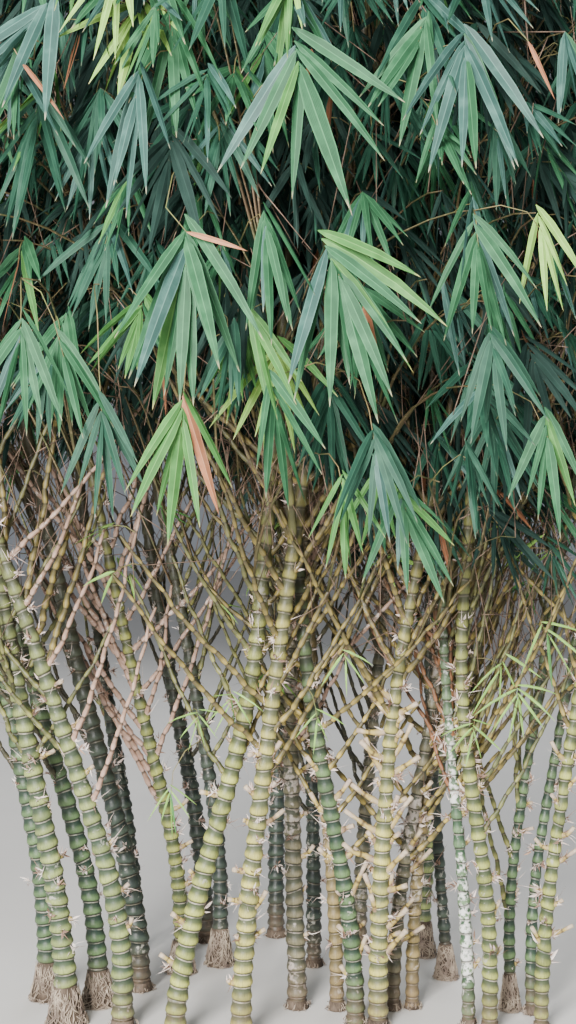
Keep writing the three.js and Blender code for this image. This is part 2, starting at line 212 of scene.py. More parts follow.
def add_tubes(
    sketch: MeshSketch,
    lines: Array,
    radii: Array,
    sides: int,
    marks: Array | None = None,
    slants: Array | None = None,
) -> None:
    """Adds tubes along lines of equal point count, closed at both ends.

    Args:
        sketch: the mesh that takes them.
        lines: centre points, (M, K, 3).
        radii: radius at each point, (M, K).
        sides: sides of each ring.
        marks: how far along each ring counts in the UV, (M, K).
        slants: how much each ring is tipped about its two axes, (M, K, 2).
    """
    tubes, rings = radii.shape
    tangents = unit(np.gradient(lines, axis=1))
    chord = unit(lines[:, -1] - lines[:, 0])
    aside = np.where(np.abs(chord[:, 2:]) > 0.75, np.array([0.0, -1.0, 0.0]), UP)
    across = unit(np.cross(chord, aside))[:, None]
    across = unit(across - np.sum(across * tangents, axis=-1, keepdims=True) * tangents)
    deep = np.cross(tangents, across)
    angles = np.arange(sides) * FULL_TURN / sides
    cosines, sines = np.cos(angles)[:, None], np.sin(angles)[:, None]
    ring = across[:, :, None] * cosines + deep[:, :, None] * sines
    if slants is not None:
        tip = slants[:, :, None, :1] * cosines + slants[:, :, None, 1:] * sines
        ring = ring + tip * tangents[:, :, None]
    points = lines[:, :, None] + radii[:, :, None, None] * ring
    if marks is None:
        marks = np.broadcast_to(np.linspace(0, 1, rings), (tubes, rings))
    number = np.arange(tubes * rings * sides).reshape(tubes, rings, sides)
    beside = np.roll(number, -1, axis=2)
    walls = [number[:, :-1], beside[:, :-1], beside[:, 1:], number[:, 1:]]
    around = np.broadcast_to(np.arange(sides) / sides, (tubes, rings - 1, sides))
    low = np.broadcast_to(marks[:, :-1, None], around.shape)
    high = np.broadcast_to(marks[:, 1:, None], around.shape)
    step = 1 / sides
    corners = [(around, low), (around + step, low), (around + step, high), (around, high)]
    uvs = np.stack([np.stack(corner, axis=-1) for corner in corners], axis=-2)
    first = sketch.count
    sketch.add(points.reshape(-1, 3), np.stack(walls, axis=-1).reshape(-1, 4), uvs.reshape(-1, 4, 2))
    for end, order in ((0, -1), (-1, 1)):
        cap = number[:, end, ::order] + first
        mark = np.broadcast_to(marks[:, end, None], cap.shape)
        sketch.more(cap, np.stack([np.full(cap.shape, 0.5), mark], axis=-1))


@dataclass(frozen=True)
class BladeShape:
    """A blade's outline: stations along it and half widths there, as shares, up to its pointed tip.

    The fold is how steeply its halves rise from the midrib.
    """

    stations: Shares
    shares: Shares
    fold: float = 0.16


FINE_LEAF = BladeShape((0.0, 0.09, 0.27, 0.6, 0.85), (0.09, 0.68, 1.0, 0.85, 0.43))
PLAIN_LEAF = BladeShape((0.0, 0.22, 0.68), (0.1, 1.0, 0.72))
FLAKE = BladeShape((0.0, 0.4), (0.7, 1.0), 0.5)


@dataclass
class Blades:
    """Many leaves or papery flakes as arrays, one row each.

    Sides are the ways they are wide. A sag is how far a tip sinks, as a share of the length, and a twist how
    far it is turned, in radians.
    """

    roots: Array
    directions: Array
    sides: Array
    lengths: Array
    widths: Array
    sags: Array
    twists: Array

    def pick(self, chosen: Array) -> "Blades":
        """The blades that a mask or an index array chooses."""
        return Blades(*(value[chosen] for value in vars(self).values()))

    def middle_line(self, stations: Array) -> Array:
        """Points of the blades' midribs.

        Args:
            stations: places along the blades, (K,).

        Returns:
            The points, (M, K, 3).
        """
        along = stations[None, :, None] * self.lengths[:, None, None]
        drop = self.sags[:, None, None] * stations[None, :, None] * along
        return self.roots[:, None] + along * self.directions[:, None] - drop * UP

    def add_to(self, sketch: MeshSketch, shape: BladeShape) -> None:
        """Adds the blades to a mesh, each as two strips that meet in a crease along its midrib.

        Args:
            sketch: the mesh that takes them.
            shape: their outline.
        """
        stations = np.array((*shape.stations, 1.0))
        shares = np.array((*shape.shares, 0.0))
        middle = self.middle_line(stations)
        normals = np.cross(self.sides, self.directions)[:, None]
        roll = self.twists[:, None, None] * stations[None, :, None]
        across = self.sides[:, None] * np.cos(roll) + normals * np.sin(roll)
        lift = normals * np.cos(roll) - self.sides[:, None] * np.sin(roll)
        half = self.widths[:, None, None] / 2 * shares[None, :, None]
        edges = [middle - across * half + lift * half * shape.fold, middle]
        edges += [middle, middle + across * half + lift * half * shape.fold]
        rows = len(shape.stations)
        body = np.stack([edge[:, :rows] for edge in edges], axis=2)
        points = np.concatenate([body.reshape(len(middle), -1, 3), middle[:, -1:], middle[:, -1:]], axis=1)
        base = np.arange(len(middle))[:, None, None] * points.shape[1]
        row = np.arange(rows - 1)[None, :, None] * 4 + base
        quads = np.concatenate([row + np.array([0, 1, 5, 4]), row + np.array([2, 3, 7, 6])], axis=1)
        v = np.array(shape.stations)
        corners = ((0.0, 0), (0.5, 0), (0.5, 1), (0.0, 1))
        strips = [(half, i) for half in (0.0, 0.5) for i in range(rows - 1)]
        quad_uvs = np.array([[(half + u, v[i + up]) for u, up in corners] for half, i in strips])
        quad_uvs = np.broadcast_to(quad_uvs, (len(middle), len(strips), 4, 2))
        end = 4 * (rows - 1)
        tips = base[:, 0] + np.array([end, end + 1, 4 * rows, end + 2, end + 3, 4 * rows + 1])
        tip_uvs = np.array([[[0, v[-1]], [0.5, v[-1]], [0.5, 1]], [[0.5, v[-1]], [1, v[-1]], [0.5, 1]]])
        first = sketch.count
        sketch.add(points.reshape(-1, 3), quads.reshape(-1, 4), quad_uvs.reshape(-1, 4, 2))
        sketch.more(
            tips.reshape(-1, 3) + first,
            np.broadcast_to(tip_uvs, (len(middle), 2, 3, 2)).reshape(-1, 3, 2),
        )


def paint(code: str) -> tuple[float, float, float, float]:
    """A colour for a shader from its six-digit web code."""
    parts = [int(code[i : i + 2], 16) / 255 for i in (1, 3, 5)]
    return (*[part / 12.92 if part <= 0.04045 else ((part + 0.055) / 1.055) ** 2.4 for part in parts], 1.0)


class NodeTree:
    """One material and short calls that build its nodes. A value is a number, a colour or another socket."""

    def __init__(self, name: str, roughness: float, specular: float = 0.5) -> None:
        """Makes a material with one plain shader.

        Args:
            name: the material's name.
            roughness: the shader's roughness.
            specular: its specular level.
        """
        self.material = bpy.data.materials.new(name)
        self.material.use_nodes = True
        self.tree = self.material.node_tree
        self.shader = self.tree.nodes["Principled BSDF"]
        self.shader.inputs["Roughness"].default_value = roughness
        self.shader.inputs["Specular IOR Level"].default_value = specular

    def node(self, kind: str, inputs: dict | None = None, **settings: object) -> bpy.types.Node:
        """Makes a node.

        Args:
            kind: its Blender type.
            inputs: values for its input sockets, by name or number.
            settings: its own properties.

        Returns:
            The node.
        """
        made = self.tree.nodes.new(kind)
        for key, value in settings.items():
            setattr(made, key, value)
        for key, value in (inputs or {}).items():
            if isinstance(value, Socket):
                self.tree.links.new(value, made.inputs[key])
            else:
                made.inputs[key].default_value = value
        return made

    def maths(self, operation: str, *values: object) -> Socket:
        """One sum, product or other operation."""
        return self.node("ShaderNodeMath", dict(enumerate(values)), operation=operation).outputs[0]

    def mix(self, share: object, first: object, second: object) -> Socket:
        """A colour between two colours."""
        inputs = {0: share, 6: first, 7: second}
        return self.node("ShaderNodeMix", inputs, data_type="RGBA").outputs[2]

    def ramp(self, share: object, stops: Stops) -> Socket:
        """A number that follows another one.

        Args:
            share: the other number, from 0 to 1.
            stops: pairs of its value and the value that follows.

        Returns:
            The number that follows.
        """
        made = self.node("ShaderNodeValToRGB", {0: share})
        elements = made.color_ramp.elements
        while len(elements) < len(stops):
            elements.new(0.5)
        for element, (place, value) in zip(elements, stops):
            element.position = place
            element.color = (value, value, value, 1.0)
        return made.outputs[0]

    def noise(self, vector: object, scale: float, detail: float) -> Socket:
        """A soft random number over a vector."""
        inputs = {"Vector": vector, "Scale": scale, "Detail": detail}
        return self.node("ShaderNodeTexNoise", inputs).outputs["Fac"]

    def uv(self) -> tuple[Socket, Socket]:
        """The two numbers of the mesh's own UV."""
        layer = self.node("ShaderNodeUVMap", uv_map="UVMap").outputs[0]
        return tuple(self.node("ShaderNodeSeparateXYZ", {0: layer}).outputs[:2])

    def place(self) -> Socket:
        """The point on the object, in metres."""
        return self.node("ShaderNodeTexCoord").outputs["Object"]

    def bump(self, height: object, distance: float, strength: float) -> None:
        """Gives the shader a relief, whose height of 0 to 1 stands for a distance in metres."""
        made = self.node("ShaderNodeBump", {"Strength": strength, "Distance": distance, "Height": height})
        self.tree.links.new(made.outputs[0], self.shader.inputs["Normal"])

    def colour(self, value: object) -> None:
        """Links the shader's colour."""
        self.tree.links.new(value, self.shader.inputs["Base Color"])


# Ramps over one internode, from the joint below it to the joint above it.
# Where the belly's colour shows: partly its own tone, partly painted light on the swelling.
SWELL: Stops = ((0.0, 0.0), (0.1, 0.3), (0.21, 1.0), (0.42, 0.9), (0.68, 0.15), (1.0, 0.0))
HUSK: Stops = ((0.0, 0.52), (0.3, 0.34), (0.5, 0.24), (0.7, 0.34), (1.0, 0.52))
# Painted shadow in the narrow foot of each internode, under its belly.
GROOVE_SHADOW: Stops = ((0.0, 0.0), (0.035, 0.2), (0.05, 0.95), (0.1, 0.8), (0.17, 0.0), (1.0, 0.0))
SCAR: Stops = ((0.0, 0.9), (0.03, 0.85), (0.05, 0.0), (0.95, 0.0), (0.975, 0.6), (1.0, 0.9))
# Ramps over height, as a share of GLOOM_REACH and of the height that soil stains.
GLOOM: Stops = ((0.22, 0.0), (0.36, 0.28), (0.5, 0.55), (0.64, 0.86))
SOIL: Stops = ((0.0, 0.85), (0.4, 0.5), (1.0, 0.0))
GLOOM_REACH = 2.0


@dataclass(frozen=True)
class CaneFinish:
    """The skin of a culm or branch, whose UV counts its internodes.

    The belly's colour is where an internode swells, partly its own lighter tone and partly painted light.
    The shade's is where it is narrow, partly its own darker tone and partly painted shade. The ring's is on
    the scar of a joint. Bloom is lichen and dry wax over a share of the skin. Soil stains the foot up to the
    height of earth, and gloom is how much of the crown's shade the skin takes from half a metre up.
    """

    belly: str
    shade: str
    ring: str
    bloom: str = "#a9a69a"
    bloom_share: float = 0.2
    earth: float = 0.12
    gloom: float = 1.0

    def make(self, name: str) -> Material:
        """Builds the material.

        Args:
            name: the material's name.

        Returns:
            The material.
        """
        tree = NodeTree(name, 0.5, 0.4)
        around, along = tree.uv()
        part = tree.maths("FRACT", along)
        speck = tree.noise(tree.place(), 95.0, 4.0)
        grain_at = tree.node("ShaderNodeCombineXYZ", {0: tree.maths("MULTIPLY", around, 26.0), 1: along})
        streak = tree.noise(grain_at.outputs[0], 1.6, 3.0)
        # Light bellies and dark waists, patchy, and a little different in each internode: the cane's own
        # tones, with painted light on the bellies and painted shade at the waists.
        joint = tree.node("ShaderNodeTexWhiteNoise", {"W": tree.maths("FLOOR", along)}, noise_dimensions="1D")
        patch = tree.ramp(tree.noise(tree.place(), 14.0, 3.0), ((0.3, 0.45), (0.65, 1.0)))
        light = tree.maths("MULTIPLY", tree.ramp(part, SWELL), patch)
        skin = tree.mix(light, paint(self.shade), paint(self.belly))
        skin = tree.mix(tree.maths("MULTIPLY", joint.outputs["Value"], 0.38), skin, paint(self.shade))
        skin = tree.mix(tree.ramp(streak, ((0.42, 0.0), (0.75, 0.42))), skin, paint("#3d4428"))
        # Lichen and wax, and rags of old husks near the joints.
        crust = tree.maths("MULTIPLY", tree.noise(tree.place(), 9.0, 2.0), speck)
        edge = 0.42 - 0.26 * self.bloom_share
        skin = tree.mix(tree.ramp(crust, ((edge, 0.0), (edge + 0.07, 0.9))), skin, paint(self.bloom))
        rag = tree.maths("ADD", tree.ramp(part, HUSK), tree.noise(tree.place(), 15.0, 5.0))
        husk = tree.mix(tree.ramp(speck, ((0.35, 0.0), (0.6, 1.0))), paint("#5f473a"), paint("#b39c86"))
        skin = tree.mix(tree.ramp(rag, ((1.0, 0.0), (1.06, 0.9))), skin, husk)
        # Painted shadow in the groove above each joint, under the belly, and the joint's pale, worn scar.
        skin = tree.mix(tree.ramp(part, GROOVE_SHADOW), skin, paint("#25241a"))
        worn = tree.ramp(tree.noise(tree.place(), 45.0, 3.0), ((0.36, 0.2), (0.58, 1.0)))
        scar = tree.maths("MULTIPLY", tree.ramp(part, SCAR), worn)
        skin = tree.mix(scar, skin, tree.mix(speck, paint(self.ring), paint("#5d4c38")))
        # The crown's shade, and soil on the foot.
        height = tree.node("ShaderNodeSeparateXYZ", {0: tree.place()}).outputs[2]
        gloom = tree.ramp(tree.maths("DIVIDE", height, GLOOM_REACH), GLOOM)
        gloom = tree.maths("MULTIPLY", gloom, self.gloom)
        skin = tree.mix(gloom, skin, tree.mix(speck, paint("#2a2b20"), paint("#5a5138")))
        soil = tree.ramp(tree.maths("DIVIDE", height, self.earth), SOIL)
        soil = tree.maths("MULTIPLY", soil, tree.ramp(speck, ((0.3, 0.4), (0.6, 1.0))))
        tree.colour(tree.mix(soil, skin, paint("#6f5a48")))
        rough = tree.maths("MULTIPLY_ADD", speck, 0.3, 0.32)
        tree.tree.links.new(rough, tree.shader.inputs["Roughness"])
        tree.bump(tree.maths("ADD", speck, streak), 0.0008, 0.5)
        return tree.material


class CulmLook(Enum):
    """How old a culm is, and what it has grown on its skin; DARK is painted shade for culms at the back and
    inside.
    """

    YELLOW = CaneFinish("#eadf76", "#475140", "#e2dac4", bloom_share=0.14)
    OLIVE = CaneFinish("#ccd06c", "#384635", "#d3ccb8", bloom_share=0.17)
    GREEN = CaneFinish("#b6c272", "#2d4036", "#cec9b8", bloom_share=0.2)
    DEEP = CaneFinish("#76935f", "#1c302c", "#b6b8a8", bloom_share=0.2)
    # Painted shade: the dark look of the culms at the back and inside the clump.
    DARK = CaneFinish("#4f5c50", "#1b2424", "#77786c", bloom_share=0.3)
    GREY = CaneFinish("#958c6f", "#40443a", "#b9afa2", "#bdb2a8", 0.5)
    LICHEN = CaneFinish("#7e9a70", "#37523f", "#a8a8a0", "#e9e9e4", 0.6)
    TAN = CaneFinish("#b49c66", "#655b40", "#bfb096", "#c9beac", 0.4)


class BranchLook(Enum):
    """The skin of a side branch; DARK is painted shade for branches at the back and inside the clump."""

    YELLOW = CaneFinish("#cdb45f", "#5c5433", "#5a4438", bloom_share=0.16, earth=0.02, gloom=0.78)
    OLIVE = CaneFinish("#a5a25e", "#4c5230", "#5c4c3c", bloom_share=0.18, earth=0.02, gloom=0.8)
    PINK = CaneFinish("#dab6a6", "#a98774", "#5c4038", "#e0d2c8", 0.3, 0.02, 0.5)
    BROWN = CaneFinish("#a9704a", "#704630", "#563c2e", "#a68a74", 0.2, 0.02)
    # Painted shade: the dark look of the branches at the back and inside the clump.
    DARK = CaneFinish("#5c5840", "#302f26", "#5e4f40", bloom_share=0.22, earth=0.02)


@dataclass(frozen=True)
class LeafFinish:
    """A leaf's colours: its blade, the lighter line of its midrib, and its tip.

    The shade's share is the light of its darker half and mottles, against that of the blade. The darker half
    is painted shade, as if the blade's fold turned it from the light.
    """

    blade: str
    rib: str
    tip: str
    roughness: float = 0.5
    gloss: float = 0.22
    shade_share: float = 0.7

    def make(self, name: str) -> Material:
        """Builds the material.

        Args:
            name: the material's name.

        Returns:
            The material.
        """
        tree = NodeTree(name, self.roughness, self.gloss)
        across, along = tree.uv()
        from_rib = tree.maths("ABSOLUTE", tree.maths("SUBTRACT", across, 0.5))
        mottle = tree.noise(tree.place(), 26.0, 3.0)
        blade = tree.mix(tree.ramp(mottle, ((0.3, 0.6), (0.5, 0.0))), paint(self.blade), paint(self.shade()))
        blade = tree.mix(tree.ramp(mottle, ((0.52, 0.0), (0.72, 0.4))), blade, paint(self.rib))
        # Painted shade on one half of the blade, as if its fold turned that half from the light.
        blade = tree.mix(tree.ramp(across, ((0.485, 0.0), (0.515, 0.42))), blade, paint(self.shade()))
        vein = tree.maths("SINE", tree.maths("MULTIPLY", across, 75.0))
        blade = tree.mix(tree.maths("MULTIPLY_ADD", vein, 0.06, 0.06), blade, paint(self.rib))
        blade = tree.mix(tree.ramp(from_rib, ((0.0, 0.7), (0.05, 0.0))), blade, paint(self.rib))
        blade = tree.mix(tree.ramp(from_rib, ((0.4, 0.0), (0.5, 0.5))), blade, paint(self.rib))
        blade = tree.mix(tree.ramp(along, ((0.93, 0.0), (0.985, 0.9))), blade, paint(self.tip))
        tree.colour(blade)
        tree.bump(vein, 0.0004, 0.25)
        return tree.material

    def shade(self) -> str:
        """The blade's darker colour, for its mottles and for the painted shade on one half."""
        parts = [round(int(self.blade[i : i + 2], 16) * self.shade_share) for i in (1, 3, 5)]
        return "#" + "".join(f"{part:02x}" for part in parts)


class LeafLook(Enum):
    """The leaves' colours from the crown's inside out, dealt out by spray."""

    SHADED = LeafFinish("#20352f", "#344a42", "#40463d", 0.6, 0.1)
    DEEP = LeafFinish("#224637", "#436f57", "#6b7560", 0.5, 0.18)
    BLUISH = LeafFinish("#2f524a", "#648a7e", "#b3ae90", 0.46, 0.22)
    MIDDLE = LeafFinish("#2a5739", "#548d62", "#a89e7c", 0.5, 0.18)
    FRESH = LeafFinish("#3f7338", "#74a45c", "#b3a86c", 0.5, 0.18)
    YOUNG = LeafFinish("#7fae4c", "#b7d684", "#cfca90")
    DRY = LeafFinish("#9d6647", "#c2967a", "#7c563e", 0.7, 0.1)


@dataclass(frozen=True)
class StrawFinish:
    """A dry, fibrous finish for sheaths, roots and dead twigs, between a light and a dark colour."""

    light: str
    dark: str

    def make(self, name: str) -> Material:
        """Builds the material.

        Args:
            name: the material's name.

        Returns:
            The material.
        """
        tree = NodeTree(name, 0.8, 0.2)
        across, along = tree.uv()
        fibre_at = tree.node("ShaderNodeCombineXYZ", {0: tree.maths("MULTIPLY", across, 9.0), 1: along})
        fibre = tree.noise(fibre_at.outputs[0], 3.0, 3.0)
        blend = tree.maths("ADD", tree.maths("MULTIPLY", fibre, 0.5), tree.noise(tree.place(), 30.0, 2.0))
        blend = tree.ramp(blend, ((0.5, 0.0), (0.95, 1.0)))
        tree.colour(tree.mix(blend, paint(self.light), paint(self.dark)))
        tree.bump(fibre, 0.0006, 0.5)
        return tree.material


@dataclass(frozen=True)
class StubFinish:
    """Short yellow cane that ends in a pale, dry cut, whose UV runs from its root to its end.

    Cane and grain are the skin's two tones, stain its brown patches, foot the husks that it comes out of, and
    ring its one joint.
    """

    cane: str = "#cdb765"
    grain: str = "#8c7845"
    stain: str = "#7d6250"
    foot: str = "#a8958a"
    ring: str = "#4c3d2c"
    cut: str = "#e0d0c2"
    cut_grain: str = "#97806f"

    def make(self, name: str) -> Material:
        """Builds the material.

        Args:
            name: the material's name.

        Returns:
            The material.
        """
        tree = NodeTree(name, 0.6, 0.3)
        _, along = tree.uv()
        grain = tree.noise(tree.place(), 120.0, 3.0)
        patch = tree.noise(tree.place(), 30.0, 2.0)
        cane = tree.mix(grain, paint(self.cane), paint(self.grain))
        cane = tree.mix(tree.ramp(patch, ((0.5, 0.0), (0.62, 0.8))), cane, paint(self.stain))
        cane = tree.mix(tree.ramp(along, ((0.0, 0.9), (0.35, 0.0))), cane, paint(self.foot))
        ring = tree.ramp(along, ((0.42, 0.0), (0.47, 0.85), (0.5, 0.85), (0.54, 0.0)))
        cane = tree.mix(ring, cane, paint(self.ring))
        bare = tree.maths("ADD", along, tree.maths("MULTIPLY", patch, 0.5))
        bare = tree.ramp(tree.maths("MULTIPLY", bare, 0.6), ((0.5, 0.0), (0.62, 0.75)))
        tree.colour(tree.mix(bare, cane, tree.mix(grain, paint(self.cut), paint(self.cut_grain))))
        tree.bump(grain, 0.0006, 0.5)
        return tree.material


@dataclass(frozen=True)
class TwigFinish:
    """Green and brown twig skin that is paler at its joints."""

    green: str
    brown: str
    joint: str = "#85785a"

    def make(self, name: str) -> Material:
        """Builds the material.

        Args:
            name: the material's name.

        Returns:
            The material.
        """
        tree = NodeTree(name, 0.6, 0.35)
        _, along = tree.uv()
        patch = tree.noise(tree.place(), 12.0, 2.0)
        skin = tree.mix(tree.ramp(patch, ((0.35, 0.0), (0.65, 1.0))), paint(self.green), paint(self.brown))
        part = tree.maths("FRACT", tree.maths("MULTIPLY", along, 2.0))
        joint = tree.ramp(part, ((0.0, 0.7), (0.12, 0.0), (1.0, 0.0)))
        tree.colour(tree.mix(joint, skin, paint(self.joint)))
        tree.bump(patch, 0.0004, 0.4)
        return tree.material


@dataclass(frozen=True)
class FloorFinish:
    """A pale, faintly clouded floor between two greys."""

    grey: str = "#cfccc8"
    paler: str = "#d8d5d0"

    def make(self, name: str) -> Material:
        """Builds the material.

        Args:
            name: the material's name.

        Returns:
            The material.
        """
        tree = NodeTree(name, 0.9, 0.2)
        cloud = tree.noise(tree.place(), 3.0, 2.0)
        tree.colour(tree.mix(cloud, paint(self.grey), paint(self.paler)))
        return tree.material


@cache
def look_material(look: CulmLook | BranchLook | LeafLook) -> Material:
    """The material of a named look, made once."""
    return look.value.make(f"{type(look).__name__}_{look.name}".lower())


@dataclass(frozen=True)
class Crown:
    """The crown's reach: a dome over an open underside, on an elliptical plan.

    Reach is the plan's half width and half depth. Top, waist and hem are the heights of its top, its widest
    part and its lowest leaves.
    """

    centre: Pair = (0.06, 0.34)
    reach: Pair = (1.3, 1.1)
    top: float = 3.28
    waist: float = 2.05
    hem: float = 1.01

    def half_height(self, points: Array) -> Array:
        """How far the crown reaches up or down from its waist on the side of points."""
        return np.where(points[..., 2] > self.waist, self.top - self.waist, self.waist)

    def share(self, points: Array) -> Array:
        """How far out points lie, as a share of the crown's radius in their direction.

        Args:
            points: the points, (..., 3).

        Returns:
            The shares, 1 on the crown's skin.
        """
        across = (points[..., 0] - self.centre[0]) / self.reach[0]
        deep = (points[..., 1] - self.centre[1]) / self.reach[1]
        high = (points[..., 2] - self.waist) / self.half_height(points)
        return np.sqrt(across**2 + deep**2 + high**2)

    def outward(self, points: Array) -> Array:
        """Level unit vectors from the crown's middle out to points."""
        return unit((points - np.array([*self.centre, 0.0])) * LEVEL)


CROWN = Crown()


@dataclass(frozen=True)
class CulmPlan:
    """One culm's sizes, the same as in the model.

    Lean is its sideways slope at the three lean heights, and back its slope away from the front. Girth is its
    belly radius at the foot. It would reach its height if the crown's skin didn't end it.
    """

    name: str
    foot: Pair
    lean: Triple
    back: float
    girth: float
    height: float
    look: CulmLook


CULM_PLANS = (
    CulmPlan("main", (0, 0), (0.05, 0.12, 0.14), -0.03, 0.024, 2.78, CulmLook.YELLOW),
    CulmPlan("left_edge", (-0.393, 0.09), (-0.06, -0.19, -0.17), -0.02, 0.028, 2.62, CulmLook.GREEN),
    CulmPlan("left_outer", (-0.463, 0.25), (-0.02, -0.2, -0.2), 0.01, 0.025, 2.45, CulmLook.DEEP),
    CulmPlan("left_dark", (-0.338, 0.21), (-0.05, -0.3, -0.24), 0.03, 0.025, 2.56, CulmLook.DEEP),
    CulmPlan("left_front", (-0.264, 0.06), (0.02, -0.31, -0.34), -0.05, 0.026, 2.48, CulmLook.GREEN),
    CulmPlan("left_inner", (-0.251, 0.31), (-0.09, -0.27, -0.22), 0.04, 0.027, 2.75, CulmLook.DARK),
    CulmPlan("fishbone", (-0.162, 0.43), (0, -0.24, -0.2), -0.03, 0.022, 2.35, CulmLook.OLIVE),
    CulmPlan("front_crossing", (-0.143, 0), (0.17, 0.28, 0.08), 0, 0.025, 2.84, CulmLook.OLIVE),
    CulmPlan("mid_left", (-0.07, 0.49), (0.04, -0.16, -0.2), 0.06, 0.022, 2.7, CulmLook.DARK),
    CulmPlan("back_left", (-0.117, 0.68), (-0.06, -0.2, -0.16), 0.12, 0.027, 2.85, CulmLook.DARK),
    CulmPlan("centre", (0.123, 0.19), (-0.04, -0.02, 0), 0.02, 0.024, 2.9, CulmLook.GREY),
    CulmPlan("centre_back", (0.167, 0.48), (0, -0.02, 0.02), 0.06, 0.021, 3.0, CulmLook.DARK),
    CulmPlan("green", (0.253, 0.09), (-0.06, -0.2, -0.06), -0.04, 0.022, 2.7, CulmLook.DEEP),
    CulmPlan("tan", (0.214, 0.176), (-0.02, -0.1, -0.05), 0.05, 0.018, 2.3, CulmLook.TAN),
    CulmPlan("yellow", (0.302, 0.07), (0, 0.06, 0.2), -0.03, 0.024, 1.9, CulmLook.YELLOW),
    CulmPlan("right_inner", (0.342, 0.18), (0.06, 0.19, 0.08), 0.02, 0.019, 2.5, CulmLook.GREY),
    CulmPlan("cream", (0.388, 0.186), (0.03, 0.12, 0.12), 0.09, 0.017, 2.25, CulmLook.TAN),
    CulmPlan("mossy", (0.489, 0.39), (-0.08, -0.06, 0.04), 0.05, 0.017, 2.5, CulmLook.DARK),
    CulmPlan("lichened", (0.503, 0.07), (-0.03, -0.09, -0.04), 0.03, 0.016, 2.15, CulmLook.LICHEN),
    CulmPlan("right_leaning", (0.547, 0.048), (0.01, -0.16, 0.06), -0.06, 0.02, 2.3, CulmLook.OLIVE),
    CulmPlan("right_slim", (0.612, 0.175), (-0.04, 0.16, 0.17), 0.04, 0.015, 2.1, CulmLook.DEEP),
    CulmPlan("right_pair", (0.656, 0.15), (0, 0.2, 0.2), 0.12, 0.015, 1.98, CulmLook.DEEP),
    CulmPlan("right_edge", (0.661, 0.05), (0.03, 0.14, 0.17), -0.03, 0.018, 2.2, CulmLook.OLIVE),
    CulmPlan("rear_left", (-0.29, 0.56), (-0.06, -0.18, -0.14), 0.15, 0.024, 2.6, CulmLook.DARK),
    CulmPlan("rear_middle", (0.07, 0.72), (0, 0.02, 0.04), 0.16, 0.025, 2.95, CulmLook.DARK),
    CulmPlan("rear_right", (0.29, 0.64), (0.04, 0.1, 0.1), 0.15, 0.022, 2.7, CulmLook.GREY),
    CulmPlan("rear_edge", (0.45, 0.56), (0.06, 0.16, 0.16), 0.1, 0.02, 2.35, CulmLook.GREEN),
)


@dataclass(frozen=True)
class Internode:
    """The rings of one internode, from 0 to 1 along it, and their radii as shares of the belly's."""

    stations: Shares
    swelling: Shares

    def places(self, count: int) -> Array:
        """Where the rings of some internodes in a row lie, counted in internodes, and their end."""
        return np.append((np.arange(count)[:, None] + np.array(self.stations)).ravel(), float(count))

    def plump(self, count: int, last: float) -> Array:
        """Those rings' radii, as shares of the belly's, and that of the end."""
        return np.append(np.tile(self.swelling, count), last)


@dataclass(frozen=True)
class Growth:
    """What all culms share: how they lean, arch, taper and swell.

    A plan's three leans hold at the lean heights. A pitch is an internode's length. The bellies fade from
    plump_to up to slim_from, to slim_share of their swelling. Culms nearer the front than near_depth have the
    finer rings.
    """

    path_step: float = 0.05
    lean_heights: Triple = (0.0, 0.45, 1.0)
    arch_from: float = 1.25
    arch_gain: float = 0.38
    root_height: float = 0.085
    crown_share: float = 0.88
    tip_radius: float = 0.004
    tip_share: float = 0.6
    taper_power: float = 1.1
    pitch_at_foot: float = 0.0295
    pitch_gain: float = 0.006
    crown_from: float = 1.0
    crown_pitch_gain: float = 0.05
    plump_to: float = 0.8
    slim_from: float = 1.7
    slim_share: float = 0.4
    wobble: float = 0.035
    wobble_range: Pair = (0.93, 1.06)
    joint_tilt: float = 0.11
    tilt_shares: Pair = (1.0, 0.6)
    near_depth: float = 0.35
    near_sides: int = 11
    far_sides: int = 8
    near: Internode = Internode(
        (0.0, 0.05, 0.12, 0.26, 0.42, 0.66, 0.86, 0.96), (0.92, 0.8, 0.92, 1.0, 0.985, 0.9, 0.83, 0.88)
    )
    far: Internode = Internode((0.0, 0.06, 0.2, 0.45, 0.8), (0.88, 0.76, 0.98, 0.98, 0.8))


GROWTH = Growth()
BRANCH_INTERNODE = Internode((0.0, 0.12, 0.42, 0.78), (0.86, 0.7, 1.0, 0.84))


